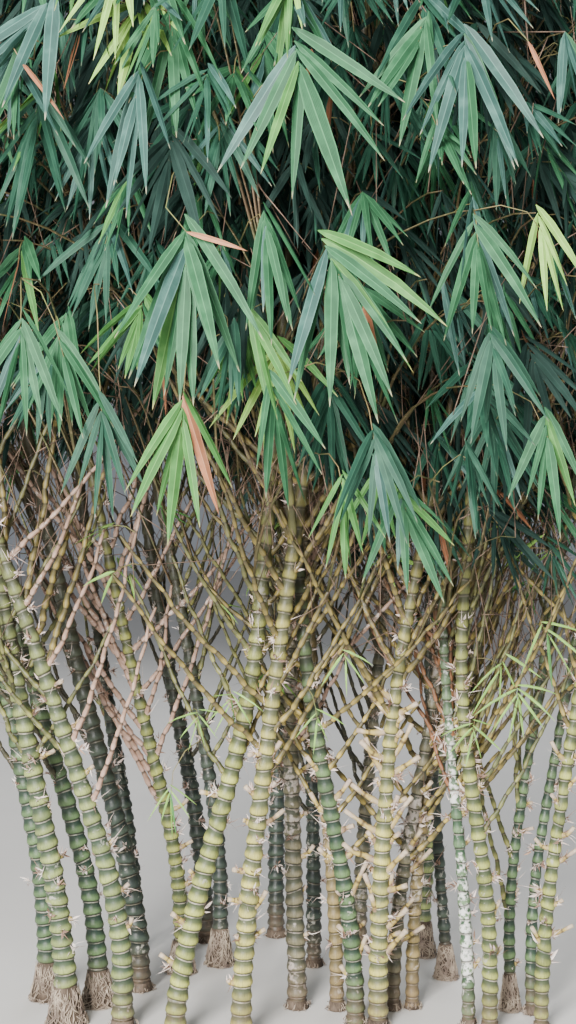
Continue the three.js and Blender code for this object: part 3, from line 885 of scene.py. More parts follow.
@dataclass
class Culm:
    """One culm: its centre line, height and joints, and the mesh of its bellied internodes."""

    plan: CulmPlan
    line: Array = field(init=False)
    height: float = field(init=False)
    joints: Array = field(init=False)

    def __post_init__(self) -> None:
        """Walks the centre line up from the foot, as the model does."""
        self.line = self.walk()
        self.height = float(self.line[-1, 2])
        self.joints = self.find_joints()

    def walk(self) -> Array:
        """The centre line's points, upright out of the ground, then leaning, then arching outwards.

        Returns:
            The points, (N, 3).
        """
        outward = (np.array(self.plan.foot) - np.array(CROWN.centre)) / np.array(CROWN.reach)
        point = np.array([*self.plan.foot, 0.0])
        points = [point]
        while point[2] < self.plan.height - 1e-9:
            if point[2] >= CROWN.hem and CROWN.share(point) >= GROWTH.crown_share:
                break
            part = 0 if point[2] < GROWTH.lean_heights[1] else 1
            low, high = GROWTH.lean_heights[part : part + 2]
            share = float(smooth(np.array((point[2] - low) / (high - low))))
            lean = self.plan.lean[part] + (self.plan.lean[part + 1] - self.plan.lean[part]) * share
            started = float(smooth(point[2] / GROWTH.root_height))
            arch = GROWTH.arch_gain * max(0.0, point[2] - GROWTH.arch_from) ** 2
            slope = started * np.array([lean, self.plan.back]) + arch * outward
            point = point + GROWTH.path_step * np.array([*slope, 1.0])
            points.append(point)
        return np.array(points)

    def find_joints(self) -> Array:
        """Heights of the joints from the ground to the tip.

        Returns:
            The heights, (N,).
        """
        heights = [0.0]
        height = GROWTH.root_height - 2 * GROWTH.pitch_at_foot
        while height < self.height:
            heights.append(height)
            in_crown = max(0.0, height - GROWTH.crown_from)
            height += GROWTH.pitch_at_foot + GROWTH.pitch_gain * height + GROWTH.crown_pitch_gain * in_crown
        return np.array([*heights, self.height])

    def at(self, heights: Array) -> Array:
        """Points of the centre line at heights, (N, 3)."""
        level = along_line(self.line[:, :2], self.line[:, 2], heights)
        return np.concatenate([level, np.clip(heights, 0, self.height)[:, None]], axis=1)

    def radius(self, heights: Array) -> Array:
        """Belly radius at heights."""
        share = np.clip(1 - np.asarray(heights) / self.height, 0, 1) ** GROWTH.taper_power
        return GROWTH.tip_radius + (self.plan.girth - GROWTH.tip_radius) * share

    def on_skin(self, height: float, way: Array, depth: float) -> Array:
        """A point out from the centre line at a height, at a share of the radius."""
        return self.at(np.array([height]))[0] + way * float(self.radius(height)) * depth

    def fine_line(self, heights: Array) -> Array:
        """Centre points at heights, with the corners of the walked line rounded off.

        Args:
            heights: the heights, (N,).

        Returns:
            The points, (N, 3).
        """
        reach = GROWTH.path_step / 2
        shifts = (-reach, 0.0, reach)
        low, here, high = [self.at(np.clip(heights + shift, 0, self.height)) for shift in shifts]
        line = (low + 2 * here + high) / 4
        line[:, 2] = heights
        return line

    def build(self, random: Random) -> None:
        """Makes the culm's mesh, with its joints tipped a little this way and that.

        Args:
            random: the seeded generator.
        """
        near = self.plan.foot[1] < GROWTH.near_depth
        internode = GROWTH.near if near else GROWTH.far
        sides = GROWTH.near_sides if near else GROWTH.far_sides
        stations = np.array(internode.stations)
        pitches = np.diff(self.joints)
        count = len(pitches)
        heights = (self.joints[:-1, None] + pitches[:, None] * stations).ravel()
        fading = (heights - GROWTH.plump_to) / (GROWTH.slim_from - GROWTH.plump_to)
        swell = 1 - (1 - GROWTH.slim_share) * smooth(fading)
        plump = 1 - (1 - np.tile(internode.swelling, count)) * swell
        wobble = np.repeat(1 + GROWTH.wobble * random.standard_normal(count), len(stations))
        radii = self.radius(heights) * plump * np.clip(wobble, *GROWTH.wobble_range)
        tilts = random.normal(0, GROWTH.joint_tilt, (len(self.joints), 2)) * np.array(GROWTH.tilt_shares)
        slants = tilts[:-1, None] * (1 - stations)[:, None] + tilts[1:, None] * stations[:, None]
        slants = slants.reshape(-1, 2)
        slants[heights < GROWTH.root_height] = 0
        slants = np.append(slants, [[0.0, 0.0]], axis=0)
        # The limbs' green and brown are darkened as painted shade inside the crown.
        line = self.fine_line(np.append(heights, self.height))
        radii = np.append(radii, GROWTH.tip_radius * GROWTH.tip_share)
        sketch = MeshSketch()
        add_tubes(sketch, line[None], radii[None], sides, internode.places(count)[None], slants[None])
        name = self.plan.name
        sketch.make(f"{name}_culm", look_material(self.plan.look), "culm", [f"culm_{name}"])


@dataclass
class Clump:
    """All culms, by name, from one root. A culm that ends lower down counts as far off."""

    far_off: float = 9.0
    culms: dict[str, Culm] = field(default_factory=lambda: {plan.name: Culm(plan) for plan in CULM_PLANS})

    def build(self, random: Random) -> None:
        """Makes every culm's mesh."""
        for culm in self.culms.values():
            culm.build(random)

    def gap(self, points: Array, but: str = "") -> Array:
        """Level distance from points to the nearest culm's skin.

        Args:
            points: where to measure from, (N, 3).
            but: a culm to leave out.

        Returns:
            The distances, negative inside a culm, (N,).
        """
        nearest = np.full(len(points), self.far_off)
        for name, culm in self.culms.items():
            if name == but:
                continue
            there = culm.at(points[:, 2])
            away = np.linalg.norm(points[:, :2] - there[:, :2], axis=1) - culm.radius(points[:, 2])
            away = np.where(points[:, 2] > culm.height, self.far_off, away)
            nearest = np.minimum(nearest, away)
        return nearest


class Cut(Enum):
    """How a side branch ends, with the range of its length's share and the scatter of its rise in degrees."""

    WHOLE = ((0.6, 1.2), 8)
    STUB = ((0.35, 1.2), 16)


@dataclass(frozen=True)
class Row:
    """A row of side branches up one culm, from the lowest to the highest.

    They point to their azimuth, in degrees round from +X, and rise in degrees above level. The radius is that
    at their roots.
    """

    culm: str
    low: float
    high: float
    count: int
    azimuth: float
    rise: float
    length: float
    look: BranchLook
    radius: float = 0.0064
    cut: Cut = Cut.WHOLE


YELLOW, OLIVE, PINK, BROWN, DARK = BranchLook
ROWS = (
    Row("fishbone", 0.4, 1.02, 11, 186, 50, 0.52, PINK, 0.0076),
    Row("fishbone", 0.52, 1.05, 7, -8, 56, 0.5, PINK, 0.0067),
    Row("left_front", 0.78, 1.02, 4, 70, 74, 0.5, YELLOW, 0.0081),
    Row("left_front", 0.6, 1.15, 6, 196, 58, 0.42, OLIVE),
    Row("left_front", 0.5, 1.05, 5, -12, 52, 0.4, PINK),
    Row("left_edge", 0.55, 1.2, 7, 190, 55, 0.4, OLIVE),
    Row("left_edge", 0.6, 1.2, 5, 5, 55, 0.38, OLIVE),
    Row("main", 0.62, 1.3, 7, 184, 50, 0.42, YELLOW, 0.0071),
    Row("main", 0.56, 1.3, 8, -4, 48, 0.42, YELLOW, 0.0071),
    Row("front_crossing", 0.6, 1.25, 7, 8, 55, 0.36, YELLOW),
    Row("front_crossing", 0.55, 1.2, 6, 176, 55, 0.4, OLIVE),
    Row("green", 0.42, 1.15, 7, 180, 48, 0.38, YELLOW),
    Row("green", 0.36, 1.15, 9, 2, 48, 0.4, YELLOW),
    Row("yellow", 0.7, 1.25, 7, 176, 60, 0.5, YELLOW, 0.0073),
    Row("yellow", 0.74, 1.3, 8, 2, 55, 0.5, YELLOW, 0.0073),
    Row("right_inner", 0.34, 1.1, 10, -6, 46, 0.42, YELLOW, 0.0073),
    Row("right_inner", 0.36, 1.1, 9, 178, 46, 0.4, YELLOW, 0.0073),
    Row("cream", 0.4, 1.1, 7, 0, 52, 0.42, YELLOW),
    Row("lichened", 0.46, 0.66, 14, 12, 52, 0.62, YELLOW, 0.0054),
    Row("lichened", 0.5, 1.1, 12, 30, 62, 0.5, OLIVE, 0.0049),
    Row("lichened", 0.5, 1.0, 7, 165, 60, 0.45, BROWN, 0.0056),
    Row("mossy", 0.55, 1.2, 10, 20, 60, 0.5, PINK, 0.0051),
    Row("right_leaning", 0.42, 1.1, 8, 10, 60, 0.5, OLIVE, 0.0055),
    Row("right_slim", 0.22, 0.42, 3, 170, 76, 0.6, OLIVE, 0.0063),
    Row("right_slim", 0.4, 1.1, 9, 60, 66, 0.5, OLIVE, 0.0049),
    Row("right_pair", 0.5, 1.1, 7, 20, 58, 0.42, DARK, 0.0049),
    Row("right_edge", 0.65, 1.2, 7, 0, 58, 0.4, OLIVE, 0.0055),
    Row("right_edge", 0.65, 1.2, 6, 180, 60, 0.4, YELLOW, 0.0055),
    Row("left_dark", 0.5, 1.25, 9, 200, 56, 0.4, DARK),
    Row("left_outer", 0.5, 1.25, 8, 190, 55, 0.4, DARK),
    Row("left_inner", 0.5, 1.3, 10, 160, 56, 0.45, DARK),
    Row("mid_left", 0.5, 1.3, 10, 30, 58, 0.45, OLIVE),
    Row("back_left", 0.6, 1.4, 9, 120, 56, 0.45, DARK),
    Row("centre", 0.55, 1.35, 9, 200, 58, 0.4, OLIVE),
    Row("centre", 0.6, 1.35, 8, -20, 55, 0.4, PINK),
    Row("centre_back", 0.5, 1.4, 10, 60, 58, 0.45, DARK),
    Row("tan", 0.5, 1.2, 7, 170, 55, 0.35, YELLOW),
    Row("rear_left", 0.5, 1.4, 10, 140, 56, 0.45, OLIVE),
    Row("rear_middle", 0.5, 1.4, 10, 90, 56, 0.45, OLIVE),
    Row("rear_right", 0.5, 1.4, 10, 60, 56, 0.45, YELLOW),
    Row("rear_edge", 0.5, 1.4, 10, 30, 56, 0.45, OLIVE),
    Row("rear_middle", 0.35, 1.15, 12, -70, 64, 0.42, DARK),
    Row("rear_right", 0.35, 1.1, 10, 200, 62, 0.42, DARK),
    Row("centre_back", 0.35, 1.0, 9, 185, 62, 0.4, DARK),
    Row("back_left", 0.45, 1.1, 8, 0, 62, 0.42, DARK),
    Row("yellow", 0.16, 0.72, 15, 186, 40, 0.0694, YELLOW, 0.0077, Cut.STUB),
    Row("yellow", 0.14, 0.7, 15, -8, 38, 0.0784, YELLOW, 0.0077, Cut.STUB),
    Row("main", 0.12, 0.62, 7, 190, 30, 0.0392, PINK, 0.0072, Cut.STUB),
    Row("main", 0.2, 0.66, 8, -6, 35, 0.0448, PINK, 0.0072, Cut.STUB),
    Row("green", 0.1, 0.55, 6, 190, 35, 0.0504, YELLOW, 0.0072, Cut.STUB),
    Row("green", 0.12, 0.5, 6, -5, 35, 0.0672, YELLOW, 0.0072, Cut.STUB),
    Row("front_crossing", 0.14, 0.7, 7, 182, 35, 0.0426, PINK, 0.0072, Cut.STUB),
    Row("centre", 0.15, 0.6, 6, 0, 35, 0.0448, PINK, 0.0066, Cut.STUB),
    Row("right_inner", 0.15, 0.5, 6, -20, 40, 0.0616, YELLOW, 0.0066, Cut.STUB),
    Row("right_edge", 0.2, 0.75, 8, -10, 42, 0.0504, PINK, 0.0062, Cut.STUB),
    Row("right_edge", 0.18, 0.7, 6, 188, 42, 0.0448, PINK, 0.006, Cut.STUB),
    Row("right_leaning", 0.15, 0.6, 6, 10, 40, 0.0336, PINK, 0.006, Cut.STUB),
    Row("left_front", 0.2, 0.75, 7, -10, 30, 0.0314, PINK, 0.0066, Cut.STUB),
    Row("left_edge", 0.25, 0.8, 6, 10, 30, 0.0291, PINK, 0.0066, Cut.STUB),
    Row("fishbone", 0.12, 0.4, 4, -10, 35, 0.0448, PINK, 0.0066, Cut.STUB),
    Row("lichened", 0.12, 0.5, 8, 10, 35, 0.028, BROWN, 0.006, Cut.STUB),
    Row("right_slim", 0.1, 0.45, 6, 0, 40, 0.0336, BROWN, 0.0054, Cut.STUB),
    Row("lichened", 0.62, 0.75, 2, 110, 82, 0.36, BROWN, 0.012),
)


@dataclass
class SideBranches:
    """Bare side branches with small bellied internodes, in rows up the culms, and cut stubs among them.

    A branch starts inside its culm, climbs more steeply as it goes (bow), strays sideways (bend), and has a
    kink at each joint. One that meets a culm or leaves the box is tried again. Lines are the joints of the
    whole branches, and roots are where branches and stubs start, with their first directions.
    """

    clump: Clump
    random: Random
    pitch: float = 0.03
    sides: int = 5
    stub_sides: int = 8
    above_joint: float = 0.004
    root_depth: float = 0.75
    bow: float = 0.22
    bend: float = 0.09
    kink: float = 0.0021
    turn_spread: float = 19
    tries: int = 14
    box_margin: float = 0.02
    culm_gap: float = 0.002
    thickness: float = 1.16
    tip_share: float = 0.5
    last_swell: float = 0.6
    cut_edge: float = 0.04
    cut_rim: float = 0.62
    sketches: dict[BranchLook, MeshSketch] = field(default_factory=dict)
    stubs: MeshSketch = field(default_factory=MeshSketch)
    lines: list[Array] = field(default_factory=list)
    roots: list[tuple[Array, Array]] = field(default_factory=list)

    def __post_init__(self) -> None:
        """Grows every row."""
        for row in ROWS:
            self.grow_row(row)

    def grow_row(self, row: Row) -> None:
        """Grows one row, each branch from a joint of its culm.

        Args:
            row: the row.
        """
        culm = self.clump.culms[row.culm]
        shares, scatter = row.cut.value
        for wanted in np.linspace(row.low, row.high, row.count):
            height = culm.joints[np.argmin(np.abs(culm.joints - wanted))] + self.above_joint
            for _ in range(self.tries):
                azimuth = row.azimuth + self.random.normal(0, self.turn_spread)
                rise = row.rise + self.random.normal(0, scatter)
                length = row.length * self.random.uniform(*shares)
                way = heading(np.array(azimuth), np.array(rise))
                line = self.line_from(culm.on_skin(float(height), way, self.root_depth), way, length)
                if self.clear(line, row):
                    self.add(line, way, row)
                    break

    def line_from(self, root: Array, way: Array, length: float) -> Array:
        """A branch's centre line, which climbs a little more steeply as it goes.

        Args:
            root: where it starts.
            way: its first direction.
            length: its length.

        Returns:
            The points at its joints.
        """
        count = max(3, round(length / self.pitch) + 1)
        along = np.linspace(0, length, count)[:, None]
        aside = unit(np.cross(way, UP)) * self.random.normal(0, self.bend)
        line = root + along * way + (UP * self.bow + aside) * along**2 / max(length, 0.1)
        kinks = self.random.normal(0, self.kink, line.shape)
        kinks[0] = 0
        return line + kinks

    def clear(self, line: Array, row: Row) -> bool:
        """Whether a branch's joints pass every other culm and stay inside the plant's box."""
        inside = np.all(in_box(line, -self.box_margin))
        return bool(inside and np.min(self.clump.gap(line, row.culm)) > row.radius + self.culm_gap)

    def add(self, line: Array, way: Array, row: Row) -> None:
        """Adds a branch's mesh to the sketch of its look, or to the stubs.

        Args:
            line: its joints.
            way: its first direction.
            row: its row.
        """
        count = len(line) - 1
        places = BRANCH_INTERNODE.places(count)
        centres = along_line(line, np.arange(count + 1), places)
        plump = BRANCH_INTERNODE.plump(count, self.last_swell)
        radii = row.radius * self.thickness * plump * (1 - (1 - self.tip_share) * places / count)
        self.roots.append((line[0], way))
        if row.cut is Cut.STUB:
            centres[-2] = centres[-1] + (centres[-2] - centres[-1]) * self.cut_edge
            radii[-2:] = radii[-3] * np.array([1.0, self.cut_rim])
            marks = np.clip(places / count, 0, 1)
            marks[-2:] = 1.0
            add_tubes(self.stubs, centres[None], radii[None], self.stub_sides, marks[None])
            return
        sketch = self.sketches.setdefault(row.look, MeshSketch())
        add_tubes(sketch, centres[None], radii[None], self.sides, places[None])
        self.lines.append(line)

    def build(self) -> None:
        """Makes one piece for each look, and one of all stubs."""
        for look, sketch in self.sketches.items():
            sketch.make(f"side_branches_{look.name.lower()}", look_material(look), "culm")
        self.stubs.make("cut_stubs", StubFinish().make("cut_stub"), "culm")


@dataclass
class Sheaths:
    """Papery husks in ragged tufts at the joints, where branches and stubs come out.

    Some flakes are long, thin wisps, and some joints without branches have a tuft too. Below low_height no
    flake points down. The places are the tufts' roots and directions.
    """

    clump: Clump
    branches: SideBranches
    random: Random
    length: Pair = (0.006, 0.024)
    width: Pair = (0.002, 0.007)
    tuft: Counts = (9, 18)
    wisp_share: float = 0.16
    wisp_length: Pair = (0.02, 0.05)
    wisp_width: float = 0.0016
    along_root: float = 0.014
    joints_share: float = 0.5
    joint_band: Pair = (0.14, 1.25)
    joint_rise: Pair = (5, 50)
    joint_depth: float = 0.85
    scatter: float = 0.75
    shift: float = 0.003
    sag: float = 0.25
    twist: float = 1.2
    low_height: float = 0.06
    pale_share: float = 0.66
    places: list[tuple[Array, Array]] = field(init=False)

    def __post_init__(self) -> None:
        """Chooses the places."""
        self.places = list(self.branches.roots)
        low, high = self.joint_band
        for culm in self.clump.culms.values():
            for height in culm.joints[(culm.joints > low) & (culm.joints < high)]:
                if self.random.random() > self.joints_share:
                    continue
                azimuth = np.array(self.random.uniform(0, 360))
                way = heading(azimuth, np.array(self.random.uniform(*self.joint_rise)))
                self.places.append((culm.on_skin(height, way, self.joint_depth), way))

    def build(self) -> None:
        """Makes a pale and a brown piece of flakes."""
        counts = self.random.integers(*self.tuft, size=len(self.places))
        points = np.repeat(np.array([point for point, _ in self.places]), counts, axis=0)
        ways = np.repeat(np.array([way for _, way in self.places]), counts, axis=0)
        total = len(points)
        points = points + ways * self.random.uniform(0, self.along_root, (total, 1))
        wisps = self.random.random(total) < self.wisp_share
        directions = unit(ways + self.random.normal(0, self.scatter, (total, 3)))
        sides = unit(np.cross(directions, self.random.normal(0, 1, (total, 3))))
        low = points[:, 2] < self.low_height
        directions[low, 2] = np.abs(directions[low, 2])
        lengths = np.where(wisps, np.array(self.wisp_length)[:, None], np.array(self.length)[:, None])
        blades = Blades(
            roots=points + self.random.normal(0, self.shift, (total, 3)),
            directions=directions,
            sides=sides,
            lengths=self.random.uniform(*lengths),
            widths=np.where(wisps, self.wisp_width, self.random.uniform(*self.width, total)),
            sags=self.random.normal(0, self.sag, total),
            twists=self.random.normal(0, self.twist, total),
        )
        pale = self.random.random(total) < self.pale_share
        finishes = {"pale": StrawFinish("#efe5dd", "#c2aa9e"), "brown": StrawFinish("#a98b78", "#6e564a")}
        for (name, finish), chosen in zip(finishes.items(), (pale, ~pale)):
            sketch = MeshSketch()
            blades.pick(chosen).add_to(sketch, FLAKE)
            sketch.make(f"sheaths_{name}", finish.make(f"sheath_{name}"), "culm")


@dataclass(frozen=True)
class Skirt:
    """Dry roots round a foot: how many strands, and how high up they start.

    The flare is how far they spread, as a share of the girth, and the length a share of the longest kind's.
    """

    strands: int
    top: float
    flare: float
    length: float


@dataclass
class RootSkirts:
    """Matted dry roots that stand round each culm's foot like a skirt: loose strands on a closed mat.

    Course and thinning say how far a strand has gone sideways and how thick it is at its three points.
    """

    clump: Clump
    random: Random
    tall_culms: str = "left_edge left_outer left_dark right_slim rear_edge mossy fishbone mid_left"
    short: Skirt = Skirt(34, 0.02, 1.25, 0.5)
    tall: Skirt = Skirt(380, 0.088, 1.62, 1.0)
    top_range: Pair = (0.88, 1.06)
    strand: Pair = (0.012, 0.036)
    tangle: float = 0.5
    loose: float = 0.007
    radius: Pair = (0.0007, 0.0015)
    thinning: Triple = (0.7, 1.0, 0.6)
    course: Triple = (0.0, 0.35, 1.0)
    levels: Shares = (0.0, 0.3, 0.65, 1.0)
    flare_power: float = 1.5
    fit: float = 1.02
    mat_share: float = 0.93
    mat_sides: int = 14
    ground_gap: float = 0.001
    least_start: float = 0.004
    neighbour_gap: float = 0.003

    def skirt_of(self, culm: Culm) -> Skirt:
        """The kind of skirt that a culm has."""
        return self.tall if culm.plan.name in self.tall_culms.split() else self.short

    def flare_radius(self, culm: Culm) -> float:
        """How far the roots spread, held back where a neighbour stands close.

        Args:
            culm: the culm.

        Returns:
            The radius on the ground.
        """
        flare = culm.plan.girth * self.skirt_of(culm).flare
        for other in self.clump.culms.values():
            if other is not culm:
                apart = math.dist(culm.plan.foot, other.plan.foot) - self.neighbour_gap
                flare = min(flare, apart * culm.plan.girth / (culm.plan.girth + other.plan.girth))
        return flare

    def skin(self, culm: Culm, top: float, heights: Array, turns: Array) -> Array:
        """Points on the mat round a foot, which spreads towards the ground.

        Args:
            culm: the culm.
            top: how high the mat reaches.
            heights: the points' heights.
            turns: their directions round the culm.

        Returns:
            The points, (..., 3).
        """
        low = (1 - heights / top) ** self.flare_power
        radii = culm.radius(heights) * self.fit + (self.flare_radius(culm) - culm.plan.girth) * low
        return culm.at(heights.ravel()).reshape(*heights.shape, 3) + level_way(turns) * radii[..., None]

    def add_strands(self, sketch: MeshSketch, culm: Culm, top: float) -> None:
        """Adds the strands that hang down and across the mat.

        Args:
            sketch: the mesh that takes them.
            culm: the culm.
            top: how high the mat reaches.
        """
        skirt = self.skirt_of(culm)
        count = skirt.strands
        high = np.maximum(self.random.uniform(0.0, top, count), self.least_start)
        slant = self.random.normal(0, self.tangle, count)
        length = self.random.uniform(*self.strand, count) * skirt.length
        low = np.maximum(high - length * np.cos(slant), self.ground_gap)
        turn = self.random.uniform(0, FULL_TURN, count)
        aside = length * np.sin(slant) / culm.plan.girth
        heights = np.stack([high, (high + low) / 2, low], axis=-1)
        lines = self.skin(culm, top, heights, turn[:, None] + aside[:, None] * np.array(self.course))
        loose = self.random.uniform(0, 1, (count, 3, 1)) ** 2 * self.loose
        lines = lines + loose * unit(lines - np.array([*culm.plan.foot, 0.0])) * LEVEL
        radii = self.random.uniform(*self.radius, (count, 1)) * np.array(self.thinning)
        add_tubes(sketch, lines, radii, 3)

    def build(self) -> None:
        """Makes a dark piece of all the closed mats and a lighter one of the strands on them."""
        mats, strands = MeshSketch(), MeshSketch()
        for culm in self.clump.culms.values():
            top = self.skirt_of(culm).top * self.random.uniform(*self.top_range)
            heights = np.maximum(np.array(self.levels) * top, self.ground_gap)
            radii = self.skin(culm, top, heights, np.zeros(len(heights)))[:, 0] - culm.at(heights)[:, 0]
            add_tubes(mats, culm.at(heights)[None], radii[None] * self.mat_share, self.mat_sides)
            self.add_strands(strands, culm, top)
        dark, light = StrawFinish("#7d6d5f", "#42382f"), StrawFinish("#cdbda8", "#86756a")
        for name, sketch, finish in (("root_mats", mats, dark), ("root_skirts", strands, light)):
            sketch.make(name, finish.make(name), "culm")


@dataclass(frozen=True)
class Tier:
    """A ring of masses in the crown, the same as in the model.

    The height is that of their middles, the spread a share of the crown's reach, and the turn one of a mass.
    """

    name: str
    count: int
    height: float
    spread: float
    turn: float

    def centres(self) -> dict[str, Array]:
        """Where its masses lie.

        Returns:
            The masses' middles, by name.
        """
        made = {}
        for i in range(self.count):
            angle = (i + self.turn) / self.count * FULL_TURN
            reach = np.array(CROWN.reach) * self.spread * np.array([math.cos(angle), math.sin(angle)])
            made[f"{self.name}_{i + 1}"] = np.array([*(np.array(CROWN.centre) + reach), self.height])
        return made


TIERS = (
    Tier("skirt", 7, 1.56, 0.74, 0.25),
    Tier("middle", 5, 2.18, 0.6, 0.0),
    Tier("upper", 4, 2.74, 0.36, 0.5),
)


@dataclass
class Boughs:
    """The limbs that carry the crown's masses, each with the stem that goes on from it into its mass.

    Each bough's ends are the middles of the model's lowest and highest points. A stem goes straight on for a
    knee's length and then towards the middle of its mass. Ways are centre lines, and stems are four points
    each, by the names of their masses.
    """

    bow: float = 0.04
    way_points: int = 25
    radius: float = 0.01
    tip_radius: float = 0.005
    least_swell: float = 0.5
    last_swell: float = 0.84
    pitch: float = 0.055
    sides: int = 8
    end_points: int = 6
    knee: float = 0.025
    stem_reach: float = 0.9
    ways: dict[str, Array] = field(default_factory=dict)
    stems: dict[str, Array] = field(default_factory=dict)

    def __post_init__(self) -> None:
        """Reads every bough's ends from the model, and plans its centre line and its stem."""
        share = np.linspace(0, 1, self.way_points)[:, None]
        for name, centre in [mass for tier in TIERS for mass in tier.centres().items()]:
            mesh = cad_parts[f"bough_{name}"].data
            points = np.unique(np.round([tuple(vertex.co) for vertex in mesh.vertices], 5), axis=0)
            order = points[np.argsort(points[:, 2])]
            start, end = order[: self.end_points].mean(axis=0), order[-self.end_points :].mean(axis=0)
            way = start + (end - start) * share + UP * self.bow * np.sin(share * math.pi)
            knee = end + unit(way[-1] - way[-2]) * self.knee
            tip = end + (centre - end) * self.stem_reach
            self.ways[name] = way
            self.stems[name] = np.array([end, knee, (knee + tip) / 2, tip])

    def build(self) -> None:
        """Makes one piece for each tier, of tapering boughs with small bellied internodes."""
        for tier in TIERS:
            sketch = MeshSketch()
            names = list(tier.centres())
            for way in [self.ways[name] for name in names]:
                length = float(np.sum(np.linalg.norm(np.diff(way, axis=0), axis=1)))
                joints = max(2, round(length / self.pitch))
                places = BRANCH_INTERNODE.places(joints)
                share = places / joints
                centres = along_line(way, np.linspace(0, 1, len(way)), share)
                plump = BRANCH_INTERNODE.plump(joints, self.last_swell)
                swell = self.least_swell + (1 - self.least_swell) * plump
                radii = (self.radius + (self.tip_radius - self.radius) * share) * swell
                add_tubes(sketch, centres[None], radii[None], self.sides, places[None])
            nodes = [f"bough_{name}" for name in names]
            sketch.make(f"{tier.name}_boughs", look_material(OLIVE), "bough", nodes)


class Fan(NamedTuple):
    """A fan of leaves at the front, placed one by one at its twig's tip.

    It hangs at a turn from straight down, positive to the right, and spreads to both sides, in degrees.
    """

    place: Triple
    turn: float
    spread: float
    leaves: int
    length: float
    look: LeafLook


LOOKS = tuple(LeafLook)
_, DEEP, BLUISH, MIDDLE, FRESH, YOUNG, DRY = LOOKS
FANS = (
    Fan((-0.071, -0.66, 1.565), 2, 34, 12, 0.25, MIDDLE),
    Fan((-0.069, -0.665, 1.622), 74, 6, 1, 0.105, DRY),
    Fan((0.508, -0.66, 1.944), 30, 8, 1, 0.127, DRY),
    Fan((-0.348, -0.66, 1.91), 38, 8, 1, 0.122, DRY),
    Fan((0.066, -0.64, 1.62), 6, 24, 8, 0.19, MIDDLE),
    Fan((0.19, -0.66, 1.545), 24, 44, 13, 0.25, MIDDLE),
    Fan((0.05, -0.6, 1.46), 22, 22, 4, 0.17, FRESH),
    Fan((-0.08, -0.64, 1.295), -2, 38, 8, 0.19, FRESH),
    Fan((0.082, -0.62, 1.33), 14, 30, 6, 0.19, MIDDLE),
    Fan((0.255, -0.6, 1.25), 6, 40, 7, 0.18, DEEP),
    Fan((0.125, -0.66, 1.88), 10, 50, 10, 0.26, MIDDLE),
    Fan((-0.36, -0.62, 1.44), -4, 44, 8, 0.17, MIDDLE),
    Fan((-0.29, -0.58, 1.42), 16, 30, 6, 0.16, MIDDLE),
    Fan((-0.22, -0.6, 1.3), 8, 34, 7, 0.17, DEEP),
    Fan((-0.34, -0.62, 1.98), -30, 30, 6, 0.24, BLUISH),
    Fan((-0.16, -0.62, 1.86), -6, 26, 6, 0.22, BLUISH),
    Fan((-0.1, -0.58, 1.98), 2, 30, 7, 0.22, MIDDLE),
    Fan((0.43, -0.62, 1.6), 8, 44, 8, 0.19, MIDDLE),
    Fan((0.46, -0.6, 1.42), 10, 36, 8, 0.17, DEEP),
    Fan((0.54, -0.62, 1.63), 12, 26, 5, 0.15, YOUNG),
    Fan((0.41, -0.6, 1.93), 2, 40, 9, 0.22, BLUISH),
    Fan((0.1, -0.64, 2.03), -8, 26, 6, 0.15, FRESH),
    Fan((0.33, -0.58, 1.97), -18, 30, 6, 0.2, MIDDLE),
    Fan((0.31, -0.56, 1.15), 20, 42, 8, 0.16, MIDDLE),
    Fan((0.2, -0.58, 1.18), 4, 34, 6, 0.14, FRESH),
    Fan((0.56, -0.56, 1.28), 4, 34, 7, 0.16, MIDDLE),
    Fan((-0.45, -0.58, 1.24), 2, 30, 7, 0.15, MIDDLE),
    Fan((0.0, -0.6, 1.44), -10, 22, 5, 0.17, DEEP),
    Fan((-0.02, -0.06, 0.74), -10, 88, 6, 0.075, YOUNG),
    Fan((-0.09, -0.05, 0.7), 0, 95, 6, 0.07, YOUNG),
    Fan((-0.15, -0.02, 0.53), 10, 60, 6, 0.085, YOUNG),
    Fan((0.225, -0.06, 0.83), 20, 75, 4, 0.08, YOUNG),
    Fan((0.165, -0.06, 0.7), 10, 80, 4, 0.08, YOUNG),
    Fan((0.56, 0.0, 0.8), -20, 85, 6, 0.11, YOUNG),
    Fan((0.6, -0.02, 0.74), 10, 90, 7, 0.1, YOUNG),
    Fan((0.5, -0.02, 0.67), 0, 95, 6, 0.08, YOUNG),
    Fan((0.66, -0.04, 0.88), 30, 70, 5, 0.12, YOUNG),
)


@dataclass
class Sprays:
    """Sprays of leaves as arrays, one row each.

    Ends are their twigs' tips, middles the ways they hang, sideways the ways their leaves spread, spreads
    half their fans' angles in radians, and looks the numbers of their colours.
    """

    ends: Array
    middles: Array
    sideways: Array
    spreads: Array
    counts: Array
    lengths: Array
    looks: Array

    def joined(self, other: "Sprays") -> "Sprays":
        """These sprays and some others."""
        return Sprays(*(np.concatenate(pair) for pair in zip(vars(self).values(), vars(other).values())))


